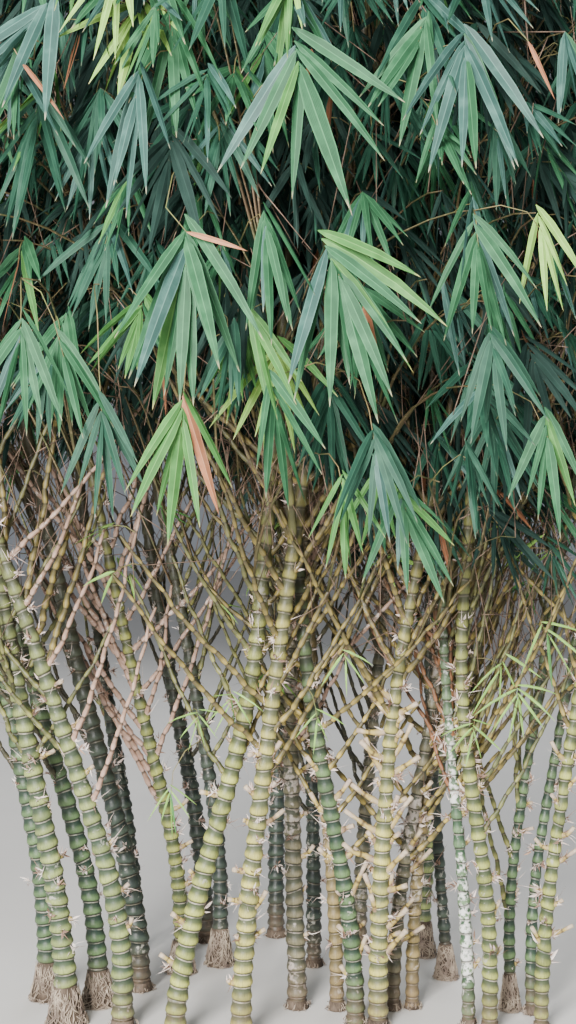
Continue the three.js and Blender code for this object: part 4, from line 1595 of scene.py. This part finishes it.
@dataclass
class CrownPlan:
    """Where the crown's limbs and sprays end, by the same seeded rule for every mass.

    The skin bulges in plumes, whose directions are the crests. The hem lies above the crown's lowest leaves
    by its lift, rises inwards, has three lobes, and falls to the right and behind. Sprays further in than
    inner_share are shorter and darker, the darker colours painted shade, and a deal is the odds of each leaf
    colour. The window is the crown's open front: its half width, depth and height. Low sprays are young ones
    under the crown.
    """

    random: Random
    limb_spacing: float = 0.125
    limb_tries: int = 16000
    limb_depth: float = 0.02
    limb_drop: float = 0.1
    least_share: float = 0.3
    plumes: int = 52
    plume_width: float = 0.25
    plume_jitter: float = 0.2
    skin: Pair = (0.74, 0.99)
    lift: float = 0.12
    rise: float = 0.13
    lobes: float = 0.1
    lobe_count: int = 3
    lobe_turn: float = 0.7
    fall: float = 0.25
    fall_range: Pair = (-0.4, 0.6)
    back_fall: float = 0.06
    back_from: float = 0.35
    ragged: float = 0.1
    waves: Shares = (9.0, 1.3, 7.0, 2.0)
    sprays_per_limb: Counts = (3, 6)
    outer_part: Pair = (0.35, 1.0)
    aside: float = 0.085
    jitter: float = 0.035
    hang: float = 0.015
    inner_share: float = 0.74
    inner_length: float = 0.82
    inner_spacing: float = 0.064
    inner_deal: Shares = (0.7, 0.28, 0.0, 0.02, 0.0, 0.0, 0.0)
    skin_spacing: float = 0.086
    skin_deal: Shares = (0.1, 0.42, 0.12, 0.29, 0.055, 0.015, 0.0)
    filler_spacing: float = 0.12
    filler_tries: int = 9000
    leaf_length: Pair = (0.125, 0.22)
    leaves: Counts = (6, 11)
    fan: Pair = (22, 55)
    lean_out: Pair = (0.15, 0.7)
    droop: float = 0.8
    skew: float = 0.45
    margin: float = 0.02
    window: Triple = (0.62, -0.15, 1.72)
    window_share: float = 0.3
    low_band: Pair = (0.6, 1.15)
    low_count: int = 46
    low_length: Pair = (0.06, 0.11)
    low_fan: Pair = (50, 85)
    low_leaves: Counts = (3, 7)
    low_droop: float = 0.5
    shown_lean: float = 0.18
    crests: Array = field(init=False)

    def __post_init__(self) -> None:
        """Spreads the plumes evenly over a ball, each turned a little by chance."""
        count = np.arange(self.plumes) + 0.5
        level = 1 - 2 * count / self.plumes
        turn = count * math.pi * (3 - math.sqrt(5)) + self.random.normal(0, self.plume_jitter, self.plumes)
        across = np.sqrt(1 - level**2)
        self.crests = np.stack([across * np.cos(turn), across * np.sin(turn), level], axis=-1)

    def skin_share(self, points: Array) -> Array:
        """How far out the crown reaches in the direction of points: furthest along its plumes.

        Args:
            points: the points, (N, 3).

        Returns:
            The reach, as a share of the crown's radius, (N,).
        """
        middle = np.array([*CROWN.centre, CROWN.waist])
        level = np.broadcast_to(np.array(CROWN.reach), (len(points), 2))
        ways = unit((points - middle) / np.column_stack([level, CROWN.half_height(points)]))
        away = np.sqrt(np.maximum(2 - 2 * (ways @ self.crests.T).max(axis=1), 0))
        return self.skin[0] + (self.skin[1] - self.skin[0]) * np.exp(-((away / self.plume_width) ** 2))

    def above_hem(self, points: Array) -> Array:
        """Whether points lie above the crown's ragged lower edge.

        Args:
            points: the points, (N, 3).

        Returns:
            True for those that do, (N,).
        """
        x, y, height = points[:, 0], points[:, 1], points[:, 2]
        along, slant, deep, lean = self.waves
        wave = np.sin(x * along + slant * y) * np.cos(y * deep - lean * x)
        turn = np.arctan2(y - CROWN.centre[1], x - CROWN.centre[0])
        edge = CROWN.hem + self.lift + self.rise * (1 - CROWN.share(points))
        edge = edge + self.lobes * np.sin(self.lobe_count * turn + self.lobe_turn)
        edge = edge - self.fall * np.clip(x, *self.fall_range) - self.back_fall * (y > self.back_from)
        return height > edge + self.ragged * wave

    def in_window(self, points: Array) -> Array:
        """Whether points lie low in the crown's open front, where only a few fans hang."""
        half, deep, high = self.window
        return (np.abs(points[:, 0] - CROWN.centre[0]) < half) & (points[:, 1] < deep) & (points[:, 2] < high)

    def scatter(self, tries: int) -> Array:
        """Random points in the box above the crown's hem."""
        return self.random.uniform(np.array([*LOW_CORNER[:2], CROWN.hem]), HIGH_CORNER, (tries, 3))

    @staticmethod
    def thin_out(points: Array, spacing: float) -> Array:
        """Chooses points that keep their distance from those before them.

        Args:
            points: the points, (N, 3).
            spacing: the least distance.

        Returns:
            The chosen points' numbers.
        """
        tree = search_tree(points)
        kept = np.ones(len(points), dtype=bool)
        for i, point in enumerate(points):
            if kept[i]:
                for _, other, _ in tree.find_range(point, spacing):
                    if other > i:
                        kept[other] = False
        return np.flatnonzero(kept)

    def limb_ends(self) -> Array:
        """Where the crown's own limbs end.

        Returns:
            The ends, (M, 3).
        """
        points = self.scatter(self.limb_tries)
        share = CROWN.share(points)
        fits = (share > self.least_share) & (share < self.skin_share(points) - self.limb_depth)
        fits &= self.above_hem(points - UP * self.limb_drop)
        points = points[fits]
        return points[self.thin_out(points, self.limb_spacing)]

    def along_limbs(self, limbs: Array) -> Array:
        """Where sprays hang along limbs: at each tip, and to both sides of the outer part.

        Args:
            limbs: the limbs' points, (M, K, 3).

        Returns:
            The sprays' places, (N, 3).
        """
        counts = self.random.integers(*self.sprays_per_limb, size=len(limbs))
        limb = np.repeat(np.arange(len(limbs)), counts)
        last = limbs.shape[1] - 1
        at = np.round(self.random.uniform(*self.outer_part, len(limb)) * last).astype(int)
        side = unit(np.cross(limbs[limb, last] - limbs[limb, 0], UP))
        shift = self.random.normal(0, self.aside, (len(limb), 1)) * side
        shift = shift + self.random.normal(0, self.jitter, (len(limb), 3)) - UP * self.hang
        return np.concatenate([limbs[:, -1], limbs[limb, at] + shift])

    def sprays(self, limbs: Array) -> Sprays:
        """The sprays all over the crown, along its limbs and a few between them.

        Args:
            limbs: the limbs' points, (M, K, 3).

        Returns:
            The sprays.
        """
        filler = self.scatter(self.filler_tries)
        filler = filler[CROWN.share(filler) > self.least_share]
        filler = filler[self.thin_out(filler, self.filler_spacing)]
        ends = np.concatenate([self.along_limbs(limbs), filler])
        out = CROWN.outward(ends)
        share = CROWN.share(ends)
        middles = unit(out * self.random.uniform(*self.lean_out, (len(ends), 1)) - UP * self.droop)
        lengths = self.random.uniform(*self.leaf_length, len(ends))
        tips = ends + middles * lengths[:, None]
        fits = (share < self.skin_share(ends)) & (CROWN.share(tips) < 1) & self.above_hem(tips)
        fits &= in_box(tips, self.margin)
        fits &= ~self.in_window(ends) | (self.random.random(len(ends)) < self.window_share)
        inner = share < self.inner_share
        kept = []
        for chosen, spacing in ((fits & inner, self.inner_spacing), (fits & ~inner, self.skin_spacing)):
            numbers = np.flatnonzero(chosen)
            kept.append(numbers[self.thin_out(ends[numbers], spacing)])
        kept = np.concatenate(kept)
        ends, middles, lengths, out, inner = ends[kept], middles[kept], lengths[kept], out[kept], inner[kept]
        sideways = unit(quarter_turn(out) + out * self.random.normal(0, self.skew, (len(ends), 1)))
        deals = (self.inner_deal, self.skin_deal)
        inner_looks, skin_looks = [self.random.choice(len(LOOKS), len(ends), p=deal) for deal in deals]
        return Sprays(
            ends=ends,
            middles=middles,
            sideways=sideways,
            spreads=np.radians(self.random.uniform(*self.fan, len(ends))),
            counts=self.random.integers(*self.leaves, size=len(ends)),
            lengths=lengths * np.where(inner, self.inner_length, 1.0),
            looks=np.where(inner, inner_looks, skin_looks),
        )

    def low_sprays(self, branches: SideBranches) -> Sprays:
        """Small young sprays here and there on the side branches under the crown.

        Args:
            branches: the side branches.

        Returns:
            The sprays.
        """
        low, high = self.low_band
        tips = np.array([line[-1] for line in branches.lines if low < line[-1, 2] < high])
        ends = tips[self.random.choice(len(tips), min(self.low_count, len(tips)), replace=False)]
        count = len(ends)
        out = level_way(self.random.uniform(0, FULL_TURN, count))
        return Sprays(
            ends=ends,
            middles=unit(out - UP * self.low_droop),
            sideways=quarter_turn(out),
            spreads=np.radians(self.random.uniform(*self.low_fan, count)),
            counts=self.random.integers(*self.low_leaves, count),
            lengths=self.random.uniform(*self.low_length, count),
            looks=self.random.choice([LOOKS.index(FRESH), LOOKS.index(YOUNG)], count),
        )

    def shown_sprays(self) -> Sprays:
        """The sprays that are listed one by one.

        Returns:
            The sprays.
        """
        places, turns, spreads, counts, lengths, looks = zip(*FANS)
        turns = np.radians(turns)
        zero = np.zeros(len(turns))
        return Sprays(
            ends=np.array(places),
            middles=unit(np.stack([np.sin(turns), zero - self.shown_lean, -np.cos(turns)], axis=-1)),
            sideways=np.stack([np.cos(turns), zero, np.sin(turns)], axis=-1),
            spreads=np.radians(spreads),
            counts=np.array(counts),
            lengths=np.array(lengths),
            looks=np.array([LOOKS.index(look) for look in looks]),
        )


@dataclass
class CrownTwigs:
    """The crown's limbs, the twigs that end in sprays, and the dead twigs tangled among them.

    A limb or twig starts from the carrying point nearest to its root, which lies inwards and below or above
    its end. It leaves and arrives along its own ways, for the bend's shares of its length. Dead twigs reach
    lower on the right, in the thicket. The limbs are all points that can carry more.
    """

    clump: Clump
    branches: SideBranches
    boughs: Boughs
    random: Random
    culms_from: float = 0.85
    bare_joints: int = 3
    stem_points: int = 8
    limb_root: Pair = (0.22, 0.26)
    limb_bend: Pair = (0.4, 0.3)
    limb_lean: Pair = (0.5, 0.25)
    limb_radius: float = 0.0042
    limb_tip: float = 0.0016
    limb_waist: float = 0.82
    limb_joints: int = 6
    limb_points: int = 9
    limb_stoutness: float = 2.2
    stout_range: Pair = (0.55, 1.15)
    stem_radii: Shares = (0.005, 0.005, 0.0042, 0.003)
    stem_sides: int = 6
    twig_radius: float = 0.0015
    twig_tip: float = 0.0008
    twig_points: int = 4
    twig_root: Pair = (0.05, 0.03)
    twig_bend: float = 0.35
    twig_rise: float = 0.7
    twig_hang: Pair = (0.4, 0.085)
    dead_count: int = 4300
    dead_length: Pair = (0.08, 0.28)
    dead_radii: Triple = (0.0013, 0.0011, 0.0008)
    dead_up: float = 0.6
    dead_scatter: float = 0.5
    dead_bend: float = 0.12
    dead_sweep: float = 0.3
    dead_depth: float = 0.93
    dead_from: float = 1.02
    thicket_from: float = 0.05
    thicket_slope: float = 0.6
    thicket_reach: float = 0.5
    limb_sketch: MeshSketch = field(default_factory=MeshSketch)
    twig_sketch: MeshSketch = field(default_factory=MeshSketch)
    limbs: Array = field(init=False)

    def __post_init__(self) -> None:
        """Adds the boughs' stems, and gathers all points of what stands that can carry more."""
        culms = self.clump.culms.values()
        points = [culm.at(culm.joints[culm.joints > self.culms_from]) for culm in culms]
        points += [line[self.bare_joints :] for line in self.branches.lines]
        points += list(self.boughs.ways.values())
        share = np.linspace(0, 1, self.stem_points)[:, None]
        stems = np.array(list(self.boughs.stems.values()))
        points += [knee + (tip - knee) * share for _, knee, _, tip in stems]
        add_tubes(self.limb_sketch, stems, np.broadcast_to(self.stem_radii, stems.shape[:2]), self.stem_sides)
        self.limbs = np.concatenate(points)

    def nearest(self, wanted: Array, rank: int = 1) -> Array:
        """The carrying points nearest to some places.

        Args:
            wanted: the places, (N, 3).
            rank: from how many of the nearest each is drawn.

        Returns:
            The points, (N, 3).
        """
        tree = search_tree(self.limbs)
        picks = self.random.integers(0, rank, len(wanted))
        found = [tree.find_n(place, rank)[pick][1] for place, pick in zip(wanted, picks)]
        return self.limbs[np.array(found)]

    def grow_limbs(self, ends: Array) -> Array:
        """Grows limbs from the culms, boughs and stems to their ends, arching up, out and over.

        Args:
            ends: where they end, (M, 3).

        Returns:
            The limbs' points, (M, K, 3).
        """
        out = CROWN.outward(ends)
        inwards, below = self.limb_root
        starts = self.nearest(ends - out * inwards - UP * below)
        length = np.linalg.norm(ends - starts, axis=1, keepdims=True)
        leave = starts + unit(out * self.limb_lean[0] + UP) * length * self.limb_bend[0]
        arrive = ends - unit(out - UP * self.limb_lean[1]) * length * self.limb_bend[1]
        lines = cubic(starts, leave, arrive, ends, self.limb_points)
        share = np.linspace(0, 1, self.limb_points)
        knobs = np.where(np.arange(self.limb_points) % 2, 1.0, self.limb_waist)
        thick = np.clip(length * self.limb_stoutness, *self.stout_range) * self.limb_radius
        radii = (thick + (self.limb_tip - thick) * share) * knobs
        marks = np.broadcast_to(share * self.limb_joints, radii.shape)
        add_tubes(self.limb_sketch, lines, radii, 3, marks)
        self.limbs = np.concatenate([self.limbs, lines[:, self.bare_joints :].reshape(-1, 3)])
        return lines

    def grow_twigs(self, sprays: Sprays) -> Array:
        """Grows a twig to each spray, which arches over and comes down into it.

        Args:
            sprays: the sprays to reach.

        Returns:
            The twigs' last directions, (N, 3).
        """
        out = CROWN.outward(sprays.ends)
        inwards, above = self.twig_root
        starts = self.nearest(sprays.ends - out * inwards + UP * above, 2)
        length = np.linalg.norm(sprays.ends - starts, axis=1, keepdims=True)
        leave = unit(sprays.ends - starts + UP * length * self.twig_rise) * length * self.twig_bend
        share, most = self.twig_hang
        arrive = sprays.ends - sprays.middles * np.minimum(length * share, most)
        lines = cubic(starts, starts + leave, arrive, sprays.ends, self.twig_points)
        radii = self.twig_radius + (self.twig_tip - self.twig_radius) * np.linspace(0, 1, self.twig_points)
        add_tubes(self.twig_sketch, lines, np.broadcast_to(radii, lines.shape[:2]), 3)
        return unit(sprays.ends - arrive)

    def dead_twigs(self) -> None:
        """Makes the tangle of thin dead twigs inside the crown."""
        count = self.dead_count
        starts = self.limbs[self.random.integers(0, len(self.limbs), count)]
        up_or_down = np.where(self.random.random((count, 1)) < self.dead_up, 1.0, -1.0)
        way = unit(self.random.normal(0, self.dead_scatter, (count, 3)) + UP * up_or_down)
        length = self.random.uniform(*self.dead_length, (count, 1))
        ends = starts + way * length
        into = np.clip(ends[:, 0] - self.thicket_from, 0, self.thicket_reach)
        inside = CROWN.share(ends) < self.dead_depth
        inside &= ends[:, 2] > self.dead_from - self.thicket_slope * into
        starts, way, length, ends = starts[inside], way[inside], length[inside], ends[inside]
        bend = self.random.normal(0, self.dead_bend, starts.shape) * length
        lines = cubic(starts, starts + way * length * self.dead_sweep + bend, ends - bend, ends, 3)
        sketch = MeshSketch()
        add_tubes(sketch, lines, np.broadcast_to(self.dead_radii, lines.shape[:2]), 3)
        sketch.make("dead_twigs", StrawFinish("#947d6c", "#4c3e35").make("dead_twig"), "foliage")

    def build(self, masses: list[str]) -> None:
        """Makes the living limbs and the leaves' twigs.

        Args:
            masses: the model's nodes whose own twigs these stand for.
        """
        limbs = ("crown_limbs", self.limb_sketch, TwigFinish("#454a2a", "#5f4e38"))
        twigs = ("crown_twigs", self.twig_sketch, TwigFinish("#6e7344", "#857450"))
        for name, sketch, finish in (limbs, twigs):
            sketch.make(name, finish.make(name), "foliage", masses)


@dataclass
class Foliage:
    """All leaves, in sprays that hang from their twigs.

    Leaves start by turns at both sides of the twig's end (step), the outermost highest up. Those low down are
    slimmer, a few have a neighbouring colour, and a few are dry. Leaves far out and near the front have the
    finer outline. The probes are where a leaf is tested for its gap to the culms.
    """

    clump: Clump
    random: Random
    rachis_share: float = 0.34
    step: float = 0.14
    step_jitter: float = 0.05
    step_top: float = 1.1
    angle_jitter: float = 0.06
    facing_jitter: float = 0.2
    roll: float = 0.5
    length_range: Pair = (0.78, 1.08)
    width_share: Pair = (0.08, 0.116)
    slim_below: float = 0.95
    slim_share: float = 0.62
    sag: Pair = (0.04, 0.3)
    twist: float = 0.35
    odd_share: float = 0.15
    dry_share: float = 0.006
    fine_share: float = 0.78
    fine_depth: float = 0.2
    probes: Triple = (0.35, 0.7, 1.0)
    culm_gap: float = 0.004
    margin: float = 0.02

    def leaves_of(self, sprays: Sprays, ways: Array) -> tuple[Blades, Array, Array]:
        """Spreads each spray's leaves like the ribs of a half-open fan.

        Args:
            sprays: the sprays.
            ways: the twigs' last directions.

        Returns:
            The leaves, the number of each leaf's look, and whether it is near the crown's front skin.
        """
        random = self.random
        spray = np.repeat(np.arange(len(sprays.counts)), sprays.counts)
        order = np.concatenate([np.arange(count) for count in sprays.counts])
        total = len(spray)
        across = (order + 0.5) / sprays.counts[spray] * 2 - 1
        angle = across * sprays.spreads[spray] + random.normal(0, self.angle_jitter, total)
        middles, sideways = sprays.middles[spray], sprays.sideways[spray]
        facing = unit(np.cross(sideways, middles))
        directions = middles * np.cos(angle)[:, None] + sideways * np.sin(angle)[:, None]
        directions = unit(directions + facing * random.normal(0, self.facing_jitter, (total, 1)))
        up = np.abs(across) + self.step * np.sign(across) + random.normal(0, self.step_jitter, total)
        rachis = np.clip(up, 0, self.step_top) * self.rachis_share * sprays.lengths[spray]
        ends = sprays.ends[spray]
        flat = unit(np.cross(directions, facing))
        roll = random.normal(0, self.roll, total)[:, None]
        lengths = sprays.lengths[spray] * random.uniform(*self.length_range, total)
        slim = np.where(ends[:, 2] < self.slim_below, self.slim_share, 1.0)
        blades = Blades(
            roots=ends - ways[spray] * rachis[:, None],
            directions=directions,
            sides=flat * np.cos(roll) + np.cross(directions, flat) * np.sin(roll),
            lengths=lengths,
            widths=lengths * slim * random.uniform(*self.width_share, total),
            sags=random.uniform(*self.sag, total) * np.linalg.norm(directions[:, :2], axis=1),
            twists=random.normal(0, self.twist, total),
        )
        # A few leaves have a neighbouring colour, and a few are dry.
        looks = sprays.looks[spray]
        step = np.where(random.random(total) < self.odd_share, random.choice([-1, 1], total), 0)
        dealt = np.clip(looks + step, np.where(looks > 0, 1, 0), LOOKS.index(YOUNG))
        dried = (random.random(total) < self.dry_share) | (looks == LOOKS.index(DRY))
        front = (CROWN.share(ends) > self.fine_share) & (ends[:, 1] < self.fine_depth)
        return blades, np.where(dried, LOOKS.index(DRY), dealt), front

    def build(self, sprays: Sprays, ways: Array, masses: list[str]) -> None:
        """Makes one piece of leaves for each colour, without those that meet a culm or leave the box.

        Args:
            sprays: the sprays.
            ways: the twigs' last directions.
            masses: the model's nodes that the leaves stand for.
        """
        blades, looks, front = self.leaves_of(sprays, ways)
        points = blades.middle_line(np.array(self.probes))
        gaps = self.clump.gap(points.reshape(-1, 3)).reshape(len(points), -1)
        kept = in_box(points, self.margin).all(axis=1) & (gaps.min(axis=1) > self.culm_gap)
        LOG.info("%d sprays, %d leaves", len(sprays.counts), int(kept.sum()))
        for number, look in enumerate(LOOKS):
            sketch = MeshSketch()
            for shape, chosen in ((FINE_LEAF, front), (PLAIN_LEAF, ~front)):
                mask = kept & chosen & (looks == number)
                if mask.any():
                    blades.pick(mask).add_to(sketch, shape)
            sketch.make(f"leaves_{look.name.lower()}", look_material(look), "foliage", masses)


@dataclass(frozen=True)
class Lamp:
    """One soft square light: where it hangs, what it looks at, its side, its watts and its colour."""

    name: str
    place: Triple
    target: Triple
    size: float
    power: float
    tint: Triple

    def build(self) -> None:
        """Makes the light, turned towards its target."""
        data = bpy.data.lights.new(self.name, "AREA")
        data.size = self.size
        data.energy = self.power
        data.color = self.tint
        light = bpy.data.objects.new(self.name, data)
        light.location = self.place
        way = np.array(self.target) - np.array(light.location)
        level = math.hypot(way[0], way[1])
        light.rotation_euler = (math.atan2(level, -way[2]), 0.0, math.atan2(-way[0], way[1]))
        bpy.context.scene.collection.objects.link(light)


LAMPS = (
    Lamp("key", (-1.7, -5.2, 2.6), (0.1, 0.2, 0.9), 1.9, 1020.0, (1.0, 0.985, 0.96)),
    Lamp("top", (-0.4, -2.6, 5.6), (0.1, -0.2, 1.4), 2.6, 130.0, (0.97, 0.99, 1.0)),
    Lamp("fill", (4.6, -2.6, 2.4), (0.1, 0.3, 1.0), 3.0, 70.0, (0.9, 0.95, 1.0)),
    Lamp("rim", (1.5, 4.8, 4.8), (0.1, 0.3, 1.6), 3.0, 240.0, (0.95, 0.98, 1.0)),
)


@dataclass(frozen=True)
class Studio:
    """The pale floor, the soft lights and the camera that sees what the photograph shows.

    The horizon and the focal length are in rows of the picture, and the sensor's width is in millimetres.
    """

    eye: Triple = (0.102, -3.03, 1.17)
    horizon: float = 500.0
    focal: float = 1400.0
    picture: Counts = (576, 1024)
    sensor: float = 36.0
    sight: float = 100.0
    floor_size: float = 40.0
    sky: tuple[float, float, float, float] = (0.8, 0.86, 0.95, 1.0)
    sky_strength: float = 0.25

    def build(self) -> None:
        """Makes floor, sky, lights and camera."""
        self.make_floor()
        self.make_sky()
        for lamp in LAMPS:
            lamp.build()
        self.make_camera()

    def make_floor(self) -> None:
        """A plain pale floor, staged."""
        bpy.ops.mesh.primitive_plane_add(size=self.floor_size, location=(0, 0, 0))
        floor = bpy.context.active_object
        floor.name = "studio_floor"
        floor.data.materials.append(FloorFinish().make(floor.name))

    def make_sky(self) -> None:
        """An even pale sky."""
        world = bpy.data.worlds.new("studio_sky")
        world.use_nodes = True
        background = world.node_tree.nodes["Background"]
        background.inputs["Color"].default_value = self.sky
        background.inputs["Strength"].default_value = self.sky_strength
        bpy.context.scene.world = world

    def make_camera(self) -> None:
        """The camera, nearly level at the height of a person's chest."""
        data = bpy.data.cameras.new("camera")
        data.sensor_width = self.sensor
        data.lens = self.sensor * self.focal / self.picture[1]
        data.clip_end = self.sight
        pitch = math.atan((self.picture[1] / 2 - self.horizon) / self.focal)
        camera = bpy.data.objects.new("camera", data)
        camera.location = self.eye
        camera.rotation_euler = (math.pi / 2 - pitch, 0.0, 0.0)
        bpy.context.scene.collection.objects.link(camera)
        bpy.context.scene.camera = camera


class Seed(Enum):
    """Where each part's random numbers start."""

    CLUMP = 11
    BRANCHES = 12
    SHEATHS = 13
    ROOTS = 14
    CROWN = 15
    TWIGS = 16
    LEAVES = 17

    def start(self) -> Random:
        """A new generator."""
        return np.random.default_rng(self.value)


def main() -> None:
    """Builds the studio, then the plant from the ground up."""
    logging.basicConfig(level=logging.INFO, format="%(name)s: %(message)s")
    Studio().build()
    clump = Clump()
    clump.build(Seed.CLUMP.start())
    branches = SideBranches(clump, Seed.BRANCHES.start())
    branches.build()
    Sheaths(clump, branches, Seed.SHEATHS.start()).build()
    RootSkirts(clump, Seed.ROOTS.start()).build()
    boughs = Boughs()
    boughs.build()
    masses = [f"foliage_{name}" for name in boughs.ways]
    plan = CrownPlan(Seed.CROWN.start())
    twigs = CrownTwigs(clump, branches, boughs, Seed.TWIGS.start())
    limbs = twigs.grow_limbs(plan.limb_ends())
    sprays = plan.sprays(limbs).joined(plan.shown_sprays()).joined(plan.low_sprays(branches))
    ways = twigs.grow_twigs(sprays)
    twigs.dead_twigs()
    twigs.build(masses)
    Foliage(clump, Seed.LEAVES.start()).build(sprays, ways, masses)


if __name__ == "__main__":
    main()
